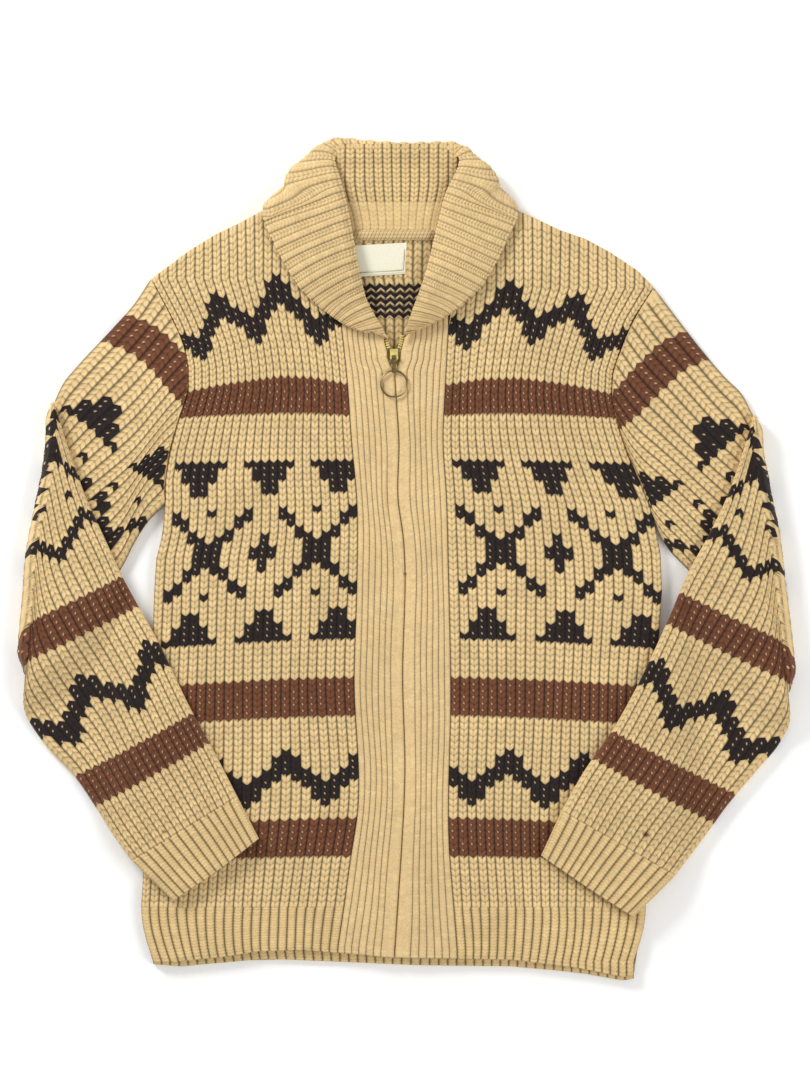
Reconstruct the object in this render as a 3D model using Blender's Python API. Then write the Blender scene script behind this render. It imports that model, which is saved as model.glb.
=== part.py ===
"""A shawl collar cardigan in heavy ribbed wool, zipped up and laid flat with its sleeves folded in.

X runs to the viewer's right, Y towards the collar and +Z up from the surface that the garment lies on.
The wearer's right half is at -X. Each cut and sewn piece is one closed solid.
"""

import math

import bmesh
import bpy
import numpy as np
from mathutils import Matrix, Vector

MM = 0.001
ORIGIN_SHIFT = (0.3, 2.25, 0.0)
SEAM = 0.3
ARM_SEAM = 1.1

# Heights of the layers, in millimetres
BACK_THICK = 5.0
FRONT_BASE = 5.4
FRONT_THICK = 5.0
WALE_HIGH = 0.9
TUBE_THICK = 11.0
SLIT_HALF = 0.5
FOLD_CORE = 0.35
NECK_LIFT = 5.9
COLLAR_THICK = 5.0
COLLAR_RIB = 1.3
ROLL_CURL = 3.4
FOLD_TOP = 21.6

# Knitted repeats, in millimetres
BAND_RIBS = 7
BAND_TOP = 211.0
HEM_TOP = -321.0
CUFF_RIBS = 13
SLEEVE_WALES = 16
COLLAR_RIBS = 30

# Outlines seen from above, in millimetres: (x, y)
SIDE_R = [(-245, -321), (-240, -190), (-235, -60), (-231, 5), (-223, 50)]
ARMHOLE_R = [(-223, 50), (-220, 96), (-211, 132), (-201.5, 165), (-210, 207), (-235.5, 257)]
SIDE_L = [(220, -321), (225, -190), (233, -60), (233.5, 5), (224, 50)]
ARMHOLE_L = [(224, 50), (204, 94), (193.5, 129), (188.5, 161), (202, 202), (227, 249)]
SHOULDER_R = [(-235.5, 257), (-218, 270), (-199, 284), (-176, 298), (-156, 307), (-133, 319), (-84, 340)]
SHOULDER_L = [(227, 249), (212.5, 264.5), (187, 281.5), (164, 294), (140, 302), (118, 312), (60, 338)]
NECK_R = [(-84, 340), (-66, 290), (-61, 212)]
NECK_L = [(60, 338), (45, 290), (39, 212)]
BAND_EDGE_R = [(-63.5, -358), (-58, -321), (-51.5, -274), (-46, -239), (-48.5, -108), (-46, -23.5), (-46, 52), (-51, 109), (-55, 164), (-60, 212)]
BAND_EDGE_L = [(46, -360), (43, -321), (39, -272), (40, -115), (38, -16), (36, 59), (33, 109), (35, 156), (38, 212)]
CENTRE = [(-11.4, -362), (-8, -311), (-4, -249.5), (-2, -198), (-4, -117), (-4, 23.5), (-8, 52), (-7.5, 109), (-10, 148), (-12, 178)]
HEM_FRONT = [(-236, -371), (-215, -371), (-165, -366), (-135, -361), (-98, -360), (-64, -362.5), (-17, -367), (5, -367.5), (98, -369), (160, -377), (199, -385), (211, -383)]
HEM_BACK = [(-236, -374), (-208, -376), (-130, -369), (-68, -371.5), (12, -375), (98, -376), (160, -382), (199, -389), (211, -387)]
BACK_NECK = [(-84, 340), (-74, 310), (-56, 296), (34, 296), (50, 310), (60, 338)]

OUTER_R = [(-235.5, 257), (-251, 234), (-270.5, 212), (-304, 176), (-316, 161.5), (-327, 144)]
UNDERARM_R = [(-223, 47), (-239, 34), (-251, 15.5), (-263, -8), (-310, -58), (-356, -106)]
CREASE_R = [(-327, 144), (-333, 115), (-335, 89), (-344, 43), (-350.5, 9), (-355, -38), (-358, -74), (-358, -106)]
RIDGE_R = [(-327, 144), (-308, 93), (-295, 57), (-280, 24), (-258.5, -22), (-229, -75), (-199, -137), (-175, -181), (-156, -218)]
FOREARM_R = [(-358, -106), (-352, -141), (-337, -167), (-304.5, -203), (-287, -229), (-269, -256), (-253, -277)]
CUFF_END_R = [(-136, -257), (-175, -287), (-215, -314)]
OUTER_L = [(227, 249), (249, 220), (270, 193), (295, 164), (306, 153.5), (321, 132)]
UNDERARM_L = [(224, 54), (234, 20), (241, 9), (258, -9), (305, -66), (356, -122)]
CREASE_L = [(321, 132), (329, 97), (332, 80.5), (337, 52), (342, 29), (348, -18), (356, -80), (358, -122)]
RIDGE_L = [(321, 132), (303, 82), (295, 60), (277, 22), (259, -11), (239, -57.5), (208, -123), (190, -155), (162, -196), (142, -231)]
FOREARM_L = [(358, -122), (351, -155), (344, -169), (322, -196), (294, -229), (276, -254), (247, -291)]
CUFF_END_L = [(123, -272.5), (172, -306), (208, -329)]

# The collar's fall, from the tip at the wearer's right, round the back, to the tip at the left.
# roll is where it turns over, edge its outer edge or its fold over the shoulder, under the hidden end.
COLLAR_ROWS = [
    # (roll x, roll y, edge x, edge y, under x, under y, top of the fold or 0, how far the edge turns under)
    (-17.0, 200, -25, 207, 0, 0, 0, 0),
    (-23, 213, -43, 208, 0, 0, 0, 0),
    (-31, 225, -62, 217, 0, 0, 0, 0),
    (-38, 239, -85, 234, 0, 0, 0, 0),
    (-42, 255, -101, 251, 0, 0, 0, 0),
    (-46, 275, -116, 276, 0, 0, 0, 0),
    (-50, 298, -127, 298, 0, 0, 0, 0),
    (-53, 315, -134, 316, 0, 0, 0, 0.03),
    (-55, 323, -131.5, 325, 0, 0, 0, 0.2),
    (-57, 332, -126, 333, 0, 0, 0, 0.55),
    (-59, 339, -119, 341.5, -118, 331, 21.6, 1),
    (-62, 350, -108, 354.5, -107, 332, 20.8, 1),
    (-66, 361, -93, 371, -92, 326, 17.5, 1),
    (-67, 370, -80, 383, -78, 312, 12.5, 1),
    (-60, 372, -64, 388, -62, 305, 9.6, 1),
    (-44, 371, -45, 386, -45, 303, 9.2, 1),
    (-4, 370, -4, 383, -4, 302, 9.2, 1),
    (28, 370, 29, 384, 28, 303, 9.2, 1),
    (42, 371, 46, 384, 43, 305, 9.6, 1),
    (49, 369, 60, 376, 57, 312, 12.5, 1),
    (47, 357, 72, 363.5, 70, 324, 17.5, 1),
    (42, 348, 82, 352, 81, 331, 20.8, 1),
    (37, 338, 91, 340.5, 90, 330, 21.6, 1),
    (34, 331, 97, 332, 0, 0, 0, 0.55),
    (32, 322, 101, 323, 0, 0, 0, 0.25),
    (30, 314, 103, 313, 0, 0, 0, 0.06),
    (26, 298, 94, 298, 0, 0, 0, 0),
    (22, 280, 87, 281, 0, 0, 0, 0),
    (17, 261, 77, 262, 0, 0, 0, 0),
    (11, 244, 64, 244, 0, 0, 0, 0),
    (5, 228, 43, 226, 0, 0, 0, 0),
    (1, 216, 20, 214, 0, 0, 0, 0),
    (-4, 202, 0, 206, 0, 0, 0, 0),
]

# The zip, in millimetres
ZIP_X = -12.0
SLIDER_Y = 187.0
BAND_TOP_AT_ZIP = 12.6
BAND_BASE_AT_ZIP = 8.8
TAPE_WIDE = 13.0
CHAIN_HALF = 2.6
WIRE = 0.8
RING_RADIUS = 12.1
EYE_RADIUS = 1.9
EYE_HOLE = 1.15
BAR_Y = 184.7
PULL_Z = BAND_TOP_AT_ZIP + SEAM + EYE_RADIUS
RING_TOP_Y = 172.6

TAN = (0.73, 0.55, 0.29)
LABEL_WHITE = (0.80, 0.78, 0.62)
TAPE_TAN = (0.55, 0.42, 0.24)
BRASS = (0.60, 0.42, 0.12)


def smooth(t):
    t = min(max(t, 0.0), 1.0)
    return t * t * (3 - 2 * t)


def along(points, share):
    """The point at a share of the length of a smooth curve through the given points."""
    p = np.array(points, float)
    if len(p) == 2:
        return p[0] + (p[1] - p[0]) * share
    steps = np.hypot(*(p[1:] - p[:-1]).T)
    at = np.concatenate([[0], np.cumsum(steps)]) / steps.sum()
    share = min(max(share, 0.0), 1.0)
    k = min(int(np.searchsorted(at, share, side="right")) - 1, len(p) - 2)
    t = (share - at[k]) / (at[k + 1] - at[k])
    before = p[max(k - 1, 0)]
    after = p[min(k + 2, len(p) - 1)]
    span = at[k + 1] - at[k]
    slope_a = (p[k + 1] - before) / (at[k + 1] - at[max(k - 1, 0)]) * span
    slope_b = (after - p[k]) / (at[min(k + 2, len(p) - 1)] - at[k]) * span
    t2, t3 = t * t, t * t * t
    return (2 * t3 - 3 * t2 + 1) * p[k] + (t3 - 2 * t2 + t) * slope_a + (3 * t2 - 2 * t3) * p[k + 1] + (t3 - t2) * slope_b


def x_at(points, y):
    """The X of an outline that runs up the garment, at a height y."""
    p = sorted(points, key=lambda q: q[1])
    return float(np.interp(y, [q[1] for q in p], [q[0] for q in p]))


def y_at(points, x):
    """The Y of an outline that runs across the garment, at a place x."""
    p = sorted(points, key=lambda q: q[0])
    return float(np.interp(x, [q[0] for q in p], [q[1] for q in p]))


def lift(x, y):
    """How far the neck rises where the collar's back lies under it."""
    across = 1 - smooth((abs(x + 13) - 118) / 55)
    return NECK_LIFT * smooth((y - 232) / 58) * across


def material(name, colour, rough=0.9, metal=0.0):
    made = bpy.data.materials.new(name)
    made.use_nodes = True
    shader = made.node_tree.nodes["Principled BSDF"]
    shader.inputs["Base Color"].default_value = (*colour, 1)
    shader.inputs["Roughness"].default_value = rough
    shader.inputs["Metallic"].default_value = metal
    return made


def add_object(name, bm, finish):
    bmesh.ops.recalc_face_normals(bm, faces=bm.faces)
    mesh = bpy.data.meshes.new(name)
    bm.to_mesh(mesh)
    bm.free()
    mesh.transform(Matrix.Translation(Vector(ORIGIN_SHIFT) * MM))
    mesh.materials.append(finish)
    made = bpy.data.objects.new(name, mesh)
    bpy.context.scene.collection.objects.link(made)
    return made


def add_points(bm, rows):
    return [[bm.verts.new([c * MM for c in p]) for p in row] for row in rows]


def stitch(bm, fine, coarse):
    """Joins two rows of vertices, the second with fewer points, by one strip of triangles."""
    i = j = 0
    while i < len(fine) - 1 or j < len(coarse) - 1:
        next_fine = (i + 1) / (len(fine) - 1)
        next_coarse = (j + 1) / (len(coarse) - 1)
        if j == len(coarse) - 1 or (i < len(fine) - 1 and next_fine <= next_coarse + 1e-9):
            bm.faces.new((fine[i], fine[i + 1], coarse[j]))
            i += 1
        else:
            bm.faces.new((fine[i], coarse[j + 1], coarse[j]))
            j += 1


def quads(bm, rows):
    for low, high in zip(rows, rows[1:]):
        for k in range(len(low) - 1):
            bm.faces.new((low[k], low[k + 1], high[k + 1], high[k]))


def wall(name, top, bottom, finish):
    """A panel: a fine upper grid and a coarser lower one, with as many rows, closed round the border."""
    bm = bmesh.new()
    upper = add_points(bm, top)
    lower = add_points(bm, bottom)
    quads(bm, upper)
    quads(bm, lower)
    stitch(bm, upper[0], lower[0])
    stitch(bm, upper[-1], lower[-1])
    for side in (0, -1):
        for k in range(len(upper) - 1):
            bm.faces.new((upper[k][side], upper[k + 1][side], lower[k + 1][side], lower[k][side]))
    return add_object(name, bm, finish)


def tube(name, outer, inner, finish):
    """A flattened tube: outer and inner rings at the same stations, closed at both ends round the slit."""
    bm = bmesh.new()
    skin = [row + [row[0]] for row in add_points(bm, outer)]
    hollow = [row + [row[0]] for row in add_points(bm, inner)]
    quads(bm, skin)
    quads(bm, hollow)
    stitch(bm, skin[0], hollow[0])
    stitch(bm, skin[-1], hollow[-1])
    return add_object(name, bm, finish)


def panel(name, left, right, bottom_y, top_y, ribs, ups, base, thick, relief, finish, round_edge=(0, 0)):
    """A panel whose ribs run up it. left and right give X at a height, bottom_y and top_y give Y at an X.
    ups gives the rows, as shares of the way from the lower edge to the upper one."""
    fine, coarse = 2 * ribs + 1, max(ribs // 2, 2) + 1

    def place(share, up):
        x_top = left(1e3) + (right(1e3) - left(1e3)) * share
        x_low = left(-1e3) + (right(-1e3) - left(-1e3)) * share
        low, high = bottom_y(x_low), top_y(x_top)
        y = low + (high - low) * up
        return left(y) + (right(y) - left(y)) * share, y

    top, bottom = [], []
    for up in ups:
        row = []
        for k in range(fine):
            share = k / (fine - 1)
            x, y = place(share, up)
            z = base(x, y) + thick(x, y)
            if k % 2:
                z += relief
            fade_l = 1 - min(1.0, 2 * share * ribs / 2)
            fade_r = 1 - min(1.0, 2 * (1 - share) * ribs / 2)
            z -= round_edge[0] * fade_l ** 2 + round_edge[1] * fade_r ** 2
            row.append((x, y, z))
        top.append(row)
        row = []
        for k in range(coarse):
            x, y = place(k / (coarse - 1), up)
            row.append((x, y, base(x, y)))
        bottom.append(row)
    return wall(name, top, bottom, finish)


def body_rows():
    """The rows that the back, the fronts and the sleeves' seams share, as shares of the height."""
    levels = [y for _, y in SIDE_R[:-1] + ARMHOLE_R]
    return [(y - levels[0]) / (levels[-1] - levels[0]) for y in levels]


def even_rows(count):
    return [k / count for k in range(count + 1)]


def front_base(x, y):
    return FRONT_BASE + lift(x, y + 12) + 0.2 * lift(x, y + 25)


def front_thick(x, y):
    return FRONT_THICK


def build_fronts(wool):
    made = []
    for name, side, armhole, shoulder, neck, band, sign in (
        ("front_right", SIDE_R, ARMHOLE_R, SHOULDER_R, NECK_R, BAND_EDGE_R, 1),
        ("front_left", SIDE_L, ARMHOLE_L, SHOULDER_L, NECK_L, BAND_EDGE_L, -1),
    ):
        outline = side[:-1] + armhole
        edge = [(x - sign * SEAM, y) for x, y in band]

        def outer(y, outline=outline):
            return x_at(outline, y)

        def inner(y, edge=edge):
            return x_at(edge, y)

        left, right = (outer, inner) if sign > 0 else (inner, outer)
        top_line = shoulder + neck[1:]

        def top_y(x, line=top_line):
            return y_at(line, x)

        def low_y(x):
            return HEM_TOP

        rounding = (2.6, 0) if sign > 0 else (0, 2.6)
        made.append(panel(name, left, right, low_y, top_y, 22, body_rows(), front_base, front_thick, WALE_HIGH, wool, rounding))
    return made


def build_back(wool):
    outline_r = SIDE_R[:-1] + ARMHOLE_R
    outline_l = SIDE_L[:-1] + ARMHOLE_L
    top_line = SHOULDER_R + BACK_NECK[1:-1] + SHOULDER_L[::-1]

    def left(y):
        return x_at(outline_r, y)

    def right(y):
        return x_at(outline_l, y)

    def top_y(x):
        return y_at(top_line, x)

    def low_y(x):
        return HEM_TOP

    def base(x, y):
        return lift(x, y)

    def thick(x, y):
        return BACK_THICK - WALE_HIGH * (0.5 if y > 0 else 1)

    return panel("back", left, right, low_y, top_y, 22, body_rows(), base, thick, WALE_HIGH * 0.5, wool)


def build_hem_ribs(wool):
    """The welt at the lower edge: the two fronts, and the back, which shows a little below them."""
    seam_y = HEM_TOP - SEAM

    def seam_line(x):
        return seam_y

    for name, band, sign in (("hem_rib_front_right", BAND_EDGE_R, 1), ("hem_rib_front_left", BAND_EDGE_L, -1)):
        outer_low, outer_high = (-234.0, -245.0) if sign > 0 else (209.0, 220.0)

        def outer(y, low=outer_low, high=outer_high):
            share = min(max((y + 371) / 50, 0), 1)
            return low + (high - low) * math.sin(share * math.pi / 2)

        def inner(y, edge=band, sign=sign):
            return x_at(edge, y) - sign * SEAM

        left, right = (outer, inner) if sign > 0 else (inner, outer)
        rounding = (2.6, 0) if sign > 0 else (0, 2.6)

        def hem_y(x):
            return y_at(HEM_FRONT, x)

        panel(name, left, right, hem_y, seam_line, 22, even_rows(2), front_base, front_thick, WALE_HIGH, wool, rounding)

    def left(y):
        return -234.0 - 11 * math.sin(min(max((y + 371) / 50, 0), 1) * math.pi / 2)

    def right(y):
        return 209.0 + 11 * math.sin(min(max((y + 371) / 50, 0), 1) * math.pi / 2)

    def back_hem_y(x):
        return y_at(HEM_BACK, x)

    def base(x, y):
        return 0.0

    def thick(x, y):
        return BACK_THICK - WALE_HIGH

    panel("hem_rib_back", left, right, back_hem_y, seam_line, 50, even_rows(2), base, thick, WALE_HIGH * 0.8, wool)


def band_gap(y):
    """Half the gap between the bands: closed over the zip, and parted above its slider."""
    return 0.5 + 5.8 * smooth((y - 170) / 16) + 3.5 * smooth((y - 187) / 18)


def build_bands(wool):
    """The fine ribbed bands that meet over the zip and part just under the collar."""
    for name, edge, sign in (("front_band_right", BAND_EDGE_R, 1), ("front_band_left", BAND_EDGE_L, -1)):

        def meet(y, sign=sign):
            return x_at(CENTRE, y) - sign * band_gap(y)

        def outer(y, edge=edge):
            return x_at(edge, y)

        def rise(x, y, outer=outer, meet=meet):
            across = (x - outer(y)) / (meet(y) - outer(y))
            return smooth((across - 0.35) / 0.45)

        def base(x, y, rise=rise):
            return FRONT_BASE + (BAND_BASE_AT_ZIP - FRONT_BASE) * rise(x, y)

        def thick(x, y, rise=rise, base=base):
            full = FRONT_THICK + 0.4
            return full + (BAND_TOP_AT_ZIP - 0.6 - BAND_BASE_AT_ZIP - full) * rise(x, y)

        left, right = (outer, meet) if sign > 0 else (meet, outer)

        def low_y(x):
            return y_at(HEM_FRONT, x)

        def top_y(x):
            return BAND_TOP

        hem = y_at(HEM_FRONT, outer(HEM_TOP) - sign * 5)
        levels = [HEM_TOP + (BAND_TOP - HEM_TOP) * up for up in body_rows()]
        ups = [0.0] + [(y - hem) / (BAND_TOP - hem) for y in levels[:-1]]
        ups += [(y - hem) / (BAND_TOP - hem) for y in (168, 176, 182, 188, 196)] + [1.0]
        panel(name, left, right, low_y, top_y, BAND_RIBS, sorted(ups), base, thick, 0.6, wool)


def straight(points, share):
    """The point at a share of the length of a line of straight stretches."""
    p = np.array(points, float)
    at = np.concatenate([[0], np.cumsum(np.hypot(*(p[1:] - p[:-1]).T))])
    return np.array([np.interp(share * at[-1], at, p[:, k]) for k in (0, 1)])


def patch(start, finish, edge_0, edge_1, along_share, across):
    """A point of the surface spanned by four edges: start and finish lines, and the two sides."""
    s, u = along_share, across
    ruled = (1 - s) * (straight(start, u) if s < 1 else 0) + s * along(finish, u)
    sides = (1 - u) * along(edge_0, s) + u * along(edge_1, s)
    corners = (1 - s) * ((1 - u) * np.array(start[0]) + u * np.array(start[-1]))
    corners = corners + s * ((1 - u) * np.array(finish[0]) + u * np.array(finish[-1]))
    return ruled + sides - corners


def outline_distance(polygon, x, y):
    """How far a point lies outside a polygon, 0 inside it."""
    p = np.array(polygon, float)
    q = np.roll(p, -1, axis=0)
    point = np.array([x, y])
    crossing = (p[:, 1] > y) != (q[:, 1] > y)
    with np.errstate(divide="ignore", invalid="ignore"):
        at_x = (q[:, 0] - p[:, 0]) * (y - p[:, 1]) / (q[:, 1] - p[:, 1]) + p[:, 0]
    if np.count_nonzero(crossing & (x < at_x)) % 2:
        return 0.0
    side = q - p
    share = np.clip(((point - p) * side).sum(1) / (side * side).sum(1), 0, 1)
    return float(np.hypot(*(p + side * share[:, None] - point).T).min())


BODY = SIDE_R + SIDE_L[::-1] + [(211, -387), (199, -389), (98, -377), (12, -376), (-130, -370), (-208, -377), (-236, -374)]
UPPER_ARM_R = ARMHOLE_R + OUTER_R[1:] + CREASE_R[1:] + UNDERARM_R[::-1][1:-1]
UPPER_ARM_L = ARMHOLE_L + OUTER_L[1:] + CREASE_L[1:] + UNDERARM_L[::-1][1:-1]
REST_ON = TUBE_THICK + 2 * FOLD_CORE
SAG_REACH = 42.0


def rest_height(x, y):
    """The height of what the folded lower arm lies on: the body, the upper arm or, past both, the surface."""
    gap = min(outline_distance(shape, x, y) for shape in (BODY, UPPER_ARM_R, UPPER_ARM_L))
    return REST_ON * (1 - smooth((gap - 9) / SAG_REACH))


def ring_shares(wales):
    """A flattened tube's section: (share of the width, share of the thickness, is it a rib's crest)."""
    count = 2 * wales + 1
    face = [(0.035 + 0.93 * k / (count - 1), k % 2) for k in range(count)]
    ring = [(0.0, 0.5, 0), (0.009, 0.15, 0)]
    ring += [(u, 0.0, crest) for u, crest in face]
    ring += [(0.991, 0.15, 0), (1.0, 0.5, 0), (0.991, 0.85, 0)]
    ring += [(u, 1.0, crest) for u, crest in reversed(face)]
    ring += [(0.009, 0.85, 0)]
    return ring


def slit_shares():
    low = [(0.06 + 0.88 * k / 4, -1) for k in range(5)]
    ring = [(0.045, 0)] + low + [(0.955, 0)] + [(u, 1) for u, _ in reversed(low)]
    return ring


def build_sleeve(name, mirror, armhole, outer, crease, underarm, ridge, forearm, wool):
    """One tube from the armhole, round the fold at the elbow, to the cuff's seam."""
    away = Vector((-mirror, 0.12)).normalized()
    away = np.array([away.x, away.y])
    inset = [0.5 * TUBE_THICK] + [TUBE_THICK] * (len(crease) - 2) + [0.85 * TUBE_THICK]
    core = [tuple(np.array(p) - away * (d + FOLD_CORE)) for p, d in zip(crease, inset)]
    head = [(x - mirror * ARM_SEAM, y) for x, y in armhole[::-1]]
    outer = [head[0]] + outer[1:-1] + [core[0]]
    underarm = [head[-1]] + underarm[1:-1] + [core[-1]]
    ridge = [core[0]] + ridge[1:]
    forearm = [core[-1]] + forearm[1:]
    cuff_seam = [ridge[-1], forearm[-1]]
    stations = [("upper", s) for s in (0, 0.06, 0.3, 0.62, 1.0)]
    stations += [("fold", s) for s in (0.25, 0.5, 0.75)]
    stations += [("lower", s) for s in (0, 0.16, 0.34, 0.52, 0.7, 0.85, 1.0)]
    core_z = TUBE_THICK + FOLD_CORE

    def place(stretch, s, u, w):
        """w is the distance from the face that lies inside the fold."""
        if stretch == "upper":
            x, y = patch(head, core, outer, underarm, s, u)
            return x, y, core_z - FOLD_CORE - w
        if stretch == "fold":
            x, y = along(core, u)
            turn = math.pi * s
            reach = (FOLD_CORE + w) * math.sin(turn)
            return x + away[0] * reach, y + away[1] * reach, core_z - (FOLD_CORE + w) * math.cos(turn)
        x, y = patch(core, cuff_seam, ridge, forearm, s, u)
        return x, y, rest_height(x, y) + w

    skins, hollows = [], []
    for stretch, s in stations:
        skin = []
        for u, share, crest in ring_shares(SLEEVE_WALES):
            w = share * TUBE_THICK
            if crest and stretch == "upper" and share == 0:
                w -= WALE_HIGH * (1 - smooth((s - 0.5) / 0.3))
            if crest and stretch == "lower" and share == 1:
                w += WALE_HIGH * smooth(s / 0.1)
            skin.append(place(stretch, s, u, w))
        skins.append(skin)
        inset = 0.035 if (stretch, s) == ("upper", 0) else 0.0
        hollows.append([place(stretch, s + inset, u, TUBE_THICK / 2 + side * SLIT_HALF) for u, side in slit_shares()])
    return tube(name, skins, hollows, wool)


def build_cuff(name, ridge, forearm, cuff_end, wool):
    """The ribbed cuff, a flattened tube from the sleeve's seam to its open end."""
    seam = [np.array(ridge[-1], float), np.array(forearm[-1], float)]
    end = [np.array(cuff_end[0], float), np.array(cuff_end[-1], float)]
    down = (end[0] + end[1] - seam[0] - seam[1]) / 2
    down /= np.hypot(*down)
    seam = [p + down * SEAM for p in seam]
    skins, hollows = [], []
    for s in (0, 0.1, 0.92, 1.0):
        skin, hollow = [], []
        tuck = 0.6 if s in (0, 1.0) else 0.0

        def place(u, w, s=s):
            start = seam[0] + (seam[1] - seam[0]) * u
            stop = along(cuff_end, u)
            x, y = start + (stop - start) * s
            return x, y, rest_height(x, y) + w

        for u, share, crest in ring_shares(CUFF_RIBS):
            w = share * TUBE_THICK
            w += tuck * (0.5 - share) * 2
            if crest and share == 1:
                w += WALE_HIGH
            skin.append(place(u, w))
        for u, side in slit_shares():
            hollow.append(place(u, TUBE_THICK / 2 + side * SLIT_HALF * 1.4))
        skins.append(skin)
        hollows.append(hollow)
    return tube(name, skins, hollows, wool)


def collar_height(x, y):
    """The height of the collar's middle over the front that it lies on."""
    on_front = front_base(x, y) + FRONT_THICK + WALE_HIGH
    on_band = BAND_TOP_AT_ZIP + 1.0
    return max(on_front, on_band) + SEAM + 0.8 + COLLAR_THICK / 2


def collar_values():
    """Each row's roll, edge, the way that it is tucked back and how far, its height, its turn, and 1 if it
    isn't folded under."""
    made = []
    for row in COLLAR_ROWS:
        roll, edge, under = np.array(row[0:2], float), np.array(row[2:4], float), np.array(row[4:6], float)
        out = (edge - roll) / np.hypot(*(edge - roll))
        top_z, turn = row[6:8]
        if top_z == 0:
            made.append([*roll, *edge, *-out, 0.0, FOLD_TOP, turn, 1.0])
            continue
        tuck = under - (edge - out * (top_z / 2 + COLLAR_THICK / 4))
        length = np.hypot(*tuck)
        made.append([*roll, *edge, *(tuck / length), length, top_z, turn, 0.0])
    return np.array(made)


def collar_section(values, points):
    """The middle line of the fall at one place: from the roll out to the edge, and under where it folds."""
    roll, edge, back = values[0:2], values[2:4], values[4:6] / np.hypot(*values[4:6])
    tuck, top_z, turn, flat = values[6:]
    half = COLLAR_THICK / 2
    width = np.hypot(*(edge - roll))
    out = (edge - roll) / width
    radius = (flat * collar_height(*edge) + (1 - flat) * top_z - half) / 2
    turn_at = edge - out * (radius * math.sin(math.pi * min(turn, 0.5)) + half * min(1, 2 * turn))
    curl = ROLL_CURL * (flat * min(1, width / 45) + (1 - flat) * np.clip((top_z - 12) / 8, 0, 1))
    t = np.linspace(0, 1, 12)
    over = roll + (turn_at - roll) * t[:, None]
    level = np.array([flat * collar_height(x, y) for x, y in over]) + (1 - flat) * top_z
    level -= curl * np.array([1 - smooth(s * width / 11) for s in t])
    a = np.linspace(0, math.pi * turn, 7)[1:]
    k = np.array([[smooth(turned / math.pi)] for turned in a])
    side = out * (1 - k) - back * k
    side = side / np.hypot(side[:, 0], side[:, 1])[:, None]
    round_the_edge = turn_at + side * (radius * np.sin(a))[:, None]
    falling = level[-1] - radius * (1 - np.cos(a))
    run = np.linspace(0, tuck, 6)[1:]
    under = round_the_edge[-1] + side[-1] * (math.cos(a[-1]) * run)[:, None]
    lower = falling[-1] - math.sin(a[-1]) * run
    path = np.column_stack([
        np.concatenate([over, round_the_edge, under]),
        np.maximum(np.concatenate([level, falling, lower]), half),
    ])
    at = np.concatenate([[0], np.cumsum(np.linalg.norm(path[1:] - path[:-1], axis=1))])
    want = np.linspace(0, at[-1], points)
    return np.stack([np.interp(want, at, path[:, k]) for k in range(3)], 1)


def build_collar(wool):
    """The fall of the shawl collar: over the fronts, round the shoulders and flat under the back neck."""
    points = 10
    values = collar_values()
    middle = (values[:, 0:2] + values[:, 2:4]) / 2
    steps = np.hypot(*(middle[1:] - middle[:-1]).T)
    at = np.concatenate([[0], np.cumsum(steps)])
    stations = 2 * COLLAR_RIBS + 1
    want = np.linspace(0, at[-1], stations)
    blended = np.column_stack([np.interp(want, at, column) for column in values.T])
    grid = np.array([collar_section(row, points) for row in blended])
    across = np.gradient(grid, axis=1)
    lengthwise = np.gradient(grid, axis=0)
    normal = np.cross(across, lengthwise)
    normal /= np.linalg.norm(normal, axis=2, keepdims=True)
    if normal[4, points // 2, 2] < 0:
        normal = -normal
    outer, inner = [], []
    for i in range(stations):
        out_row, in_row = [], []
        for j in range(points):
            half = COLLAR_THICK / 2
            if j in (0, points - 1):
                half *= 0.6
            if i in (0, stations - 1):
                half *= 0.7
            faces_up = normal[i, j, 2] > -0.3
            rib = COLLAR_RIB if (i % 2 and faces_up and 0 < j < points - 1) else 0.0
            out_row.append(grid[i, j] + normal[i, j] * (half - 0.5 * COLLAR_RIB * faces_up + rib))
            in_row.append(grid[i, j] - normal[i, j] * half)
        outer.append(out_row)
        inner.append(in_row)
    outer = [[(p[0], p[1], max(p[2], 0.0)) for p in row] for row in outer]
    inner = [[(p[0], p[1], max(p[2], 0.0)) for p in row] for row in inner]
    return wall("collar", outer, inner, wool)


def inside_lift(y):
    """The rise of the back's inside between its last two rows, below the neck seam."""
    neck = BACK_NECK[2][1]
    row = HEM_TOP + (neck - HEM_TOP) * body_rows()[-2]
    return float(np.interp(y, (row, neck), (lift(ZIP_X, row), NECK_LIFT)))


def build_neck(wool, label_cloth):
    """Inside the neck: the collar's stand, the seam's roll and the woven label, left without words."""

    def base(x, y):
        return 6.2

    def thick(x, y):
        return COLLAR_THICK - 0.6

    def left(y):
        return -60.0 + 16 * (1 - smooth((y - 300) / 50))

    def right(y):
        return 39.0 - 15 * (1 - smooth((y - 300) / 50))

    def low(x):
        return 303.6

    def high(x):
        return 368.6

    panel("collar_stand", left, right, low, high, 12, even_rows(3), base, thick, 0.8, wool)

    top, bottom = [], []
    for k in range(13):
        x = -43 + 60 * k / 12
        height = BACK_THICK + NECK_LIFT + SEAM + 0.05
        arc = [(293.2, 0.9), (295.0, 2.6), (297.6, 3.1), (300.0, 2.6), (301.8, 0.9)]
        top.append([(x, y, height + z) for y, z in arc])
        bottom.append([(x, 293.2, height), (x, 301.8, height)])
    wall("neck_binding", top, bottom, wool)

    top, bottom = [], []
    for r in range(5):
        up = r / 4
        y = 260.5 + 28.5 * up
        row_t, row_b = [], []
        for k in range(5):
            x = -51.5 + 50 * k / 4
            tilt = 3.0 * k / 4
            z = BACK_THICK + inside_lift(y + tilt) + SEAM + 0.1
            row_b.append((x + 1.2 * up, y + tilt - 1.5, z))
            row_t.append((x + 1.2 * up, y + tilt - 1.5, z + 0.6))
        top.append(row_t)
        bottom.append(row_b)
    wall("label", top, bottom, label_cloth)


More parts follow.
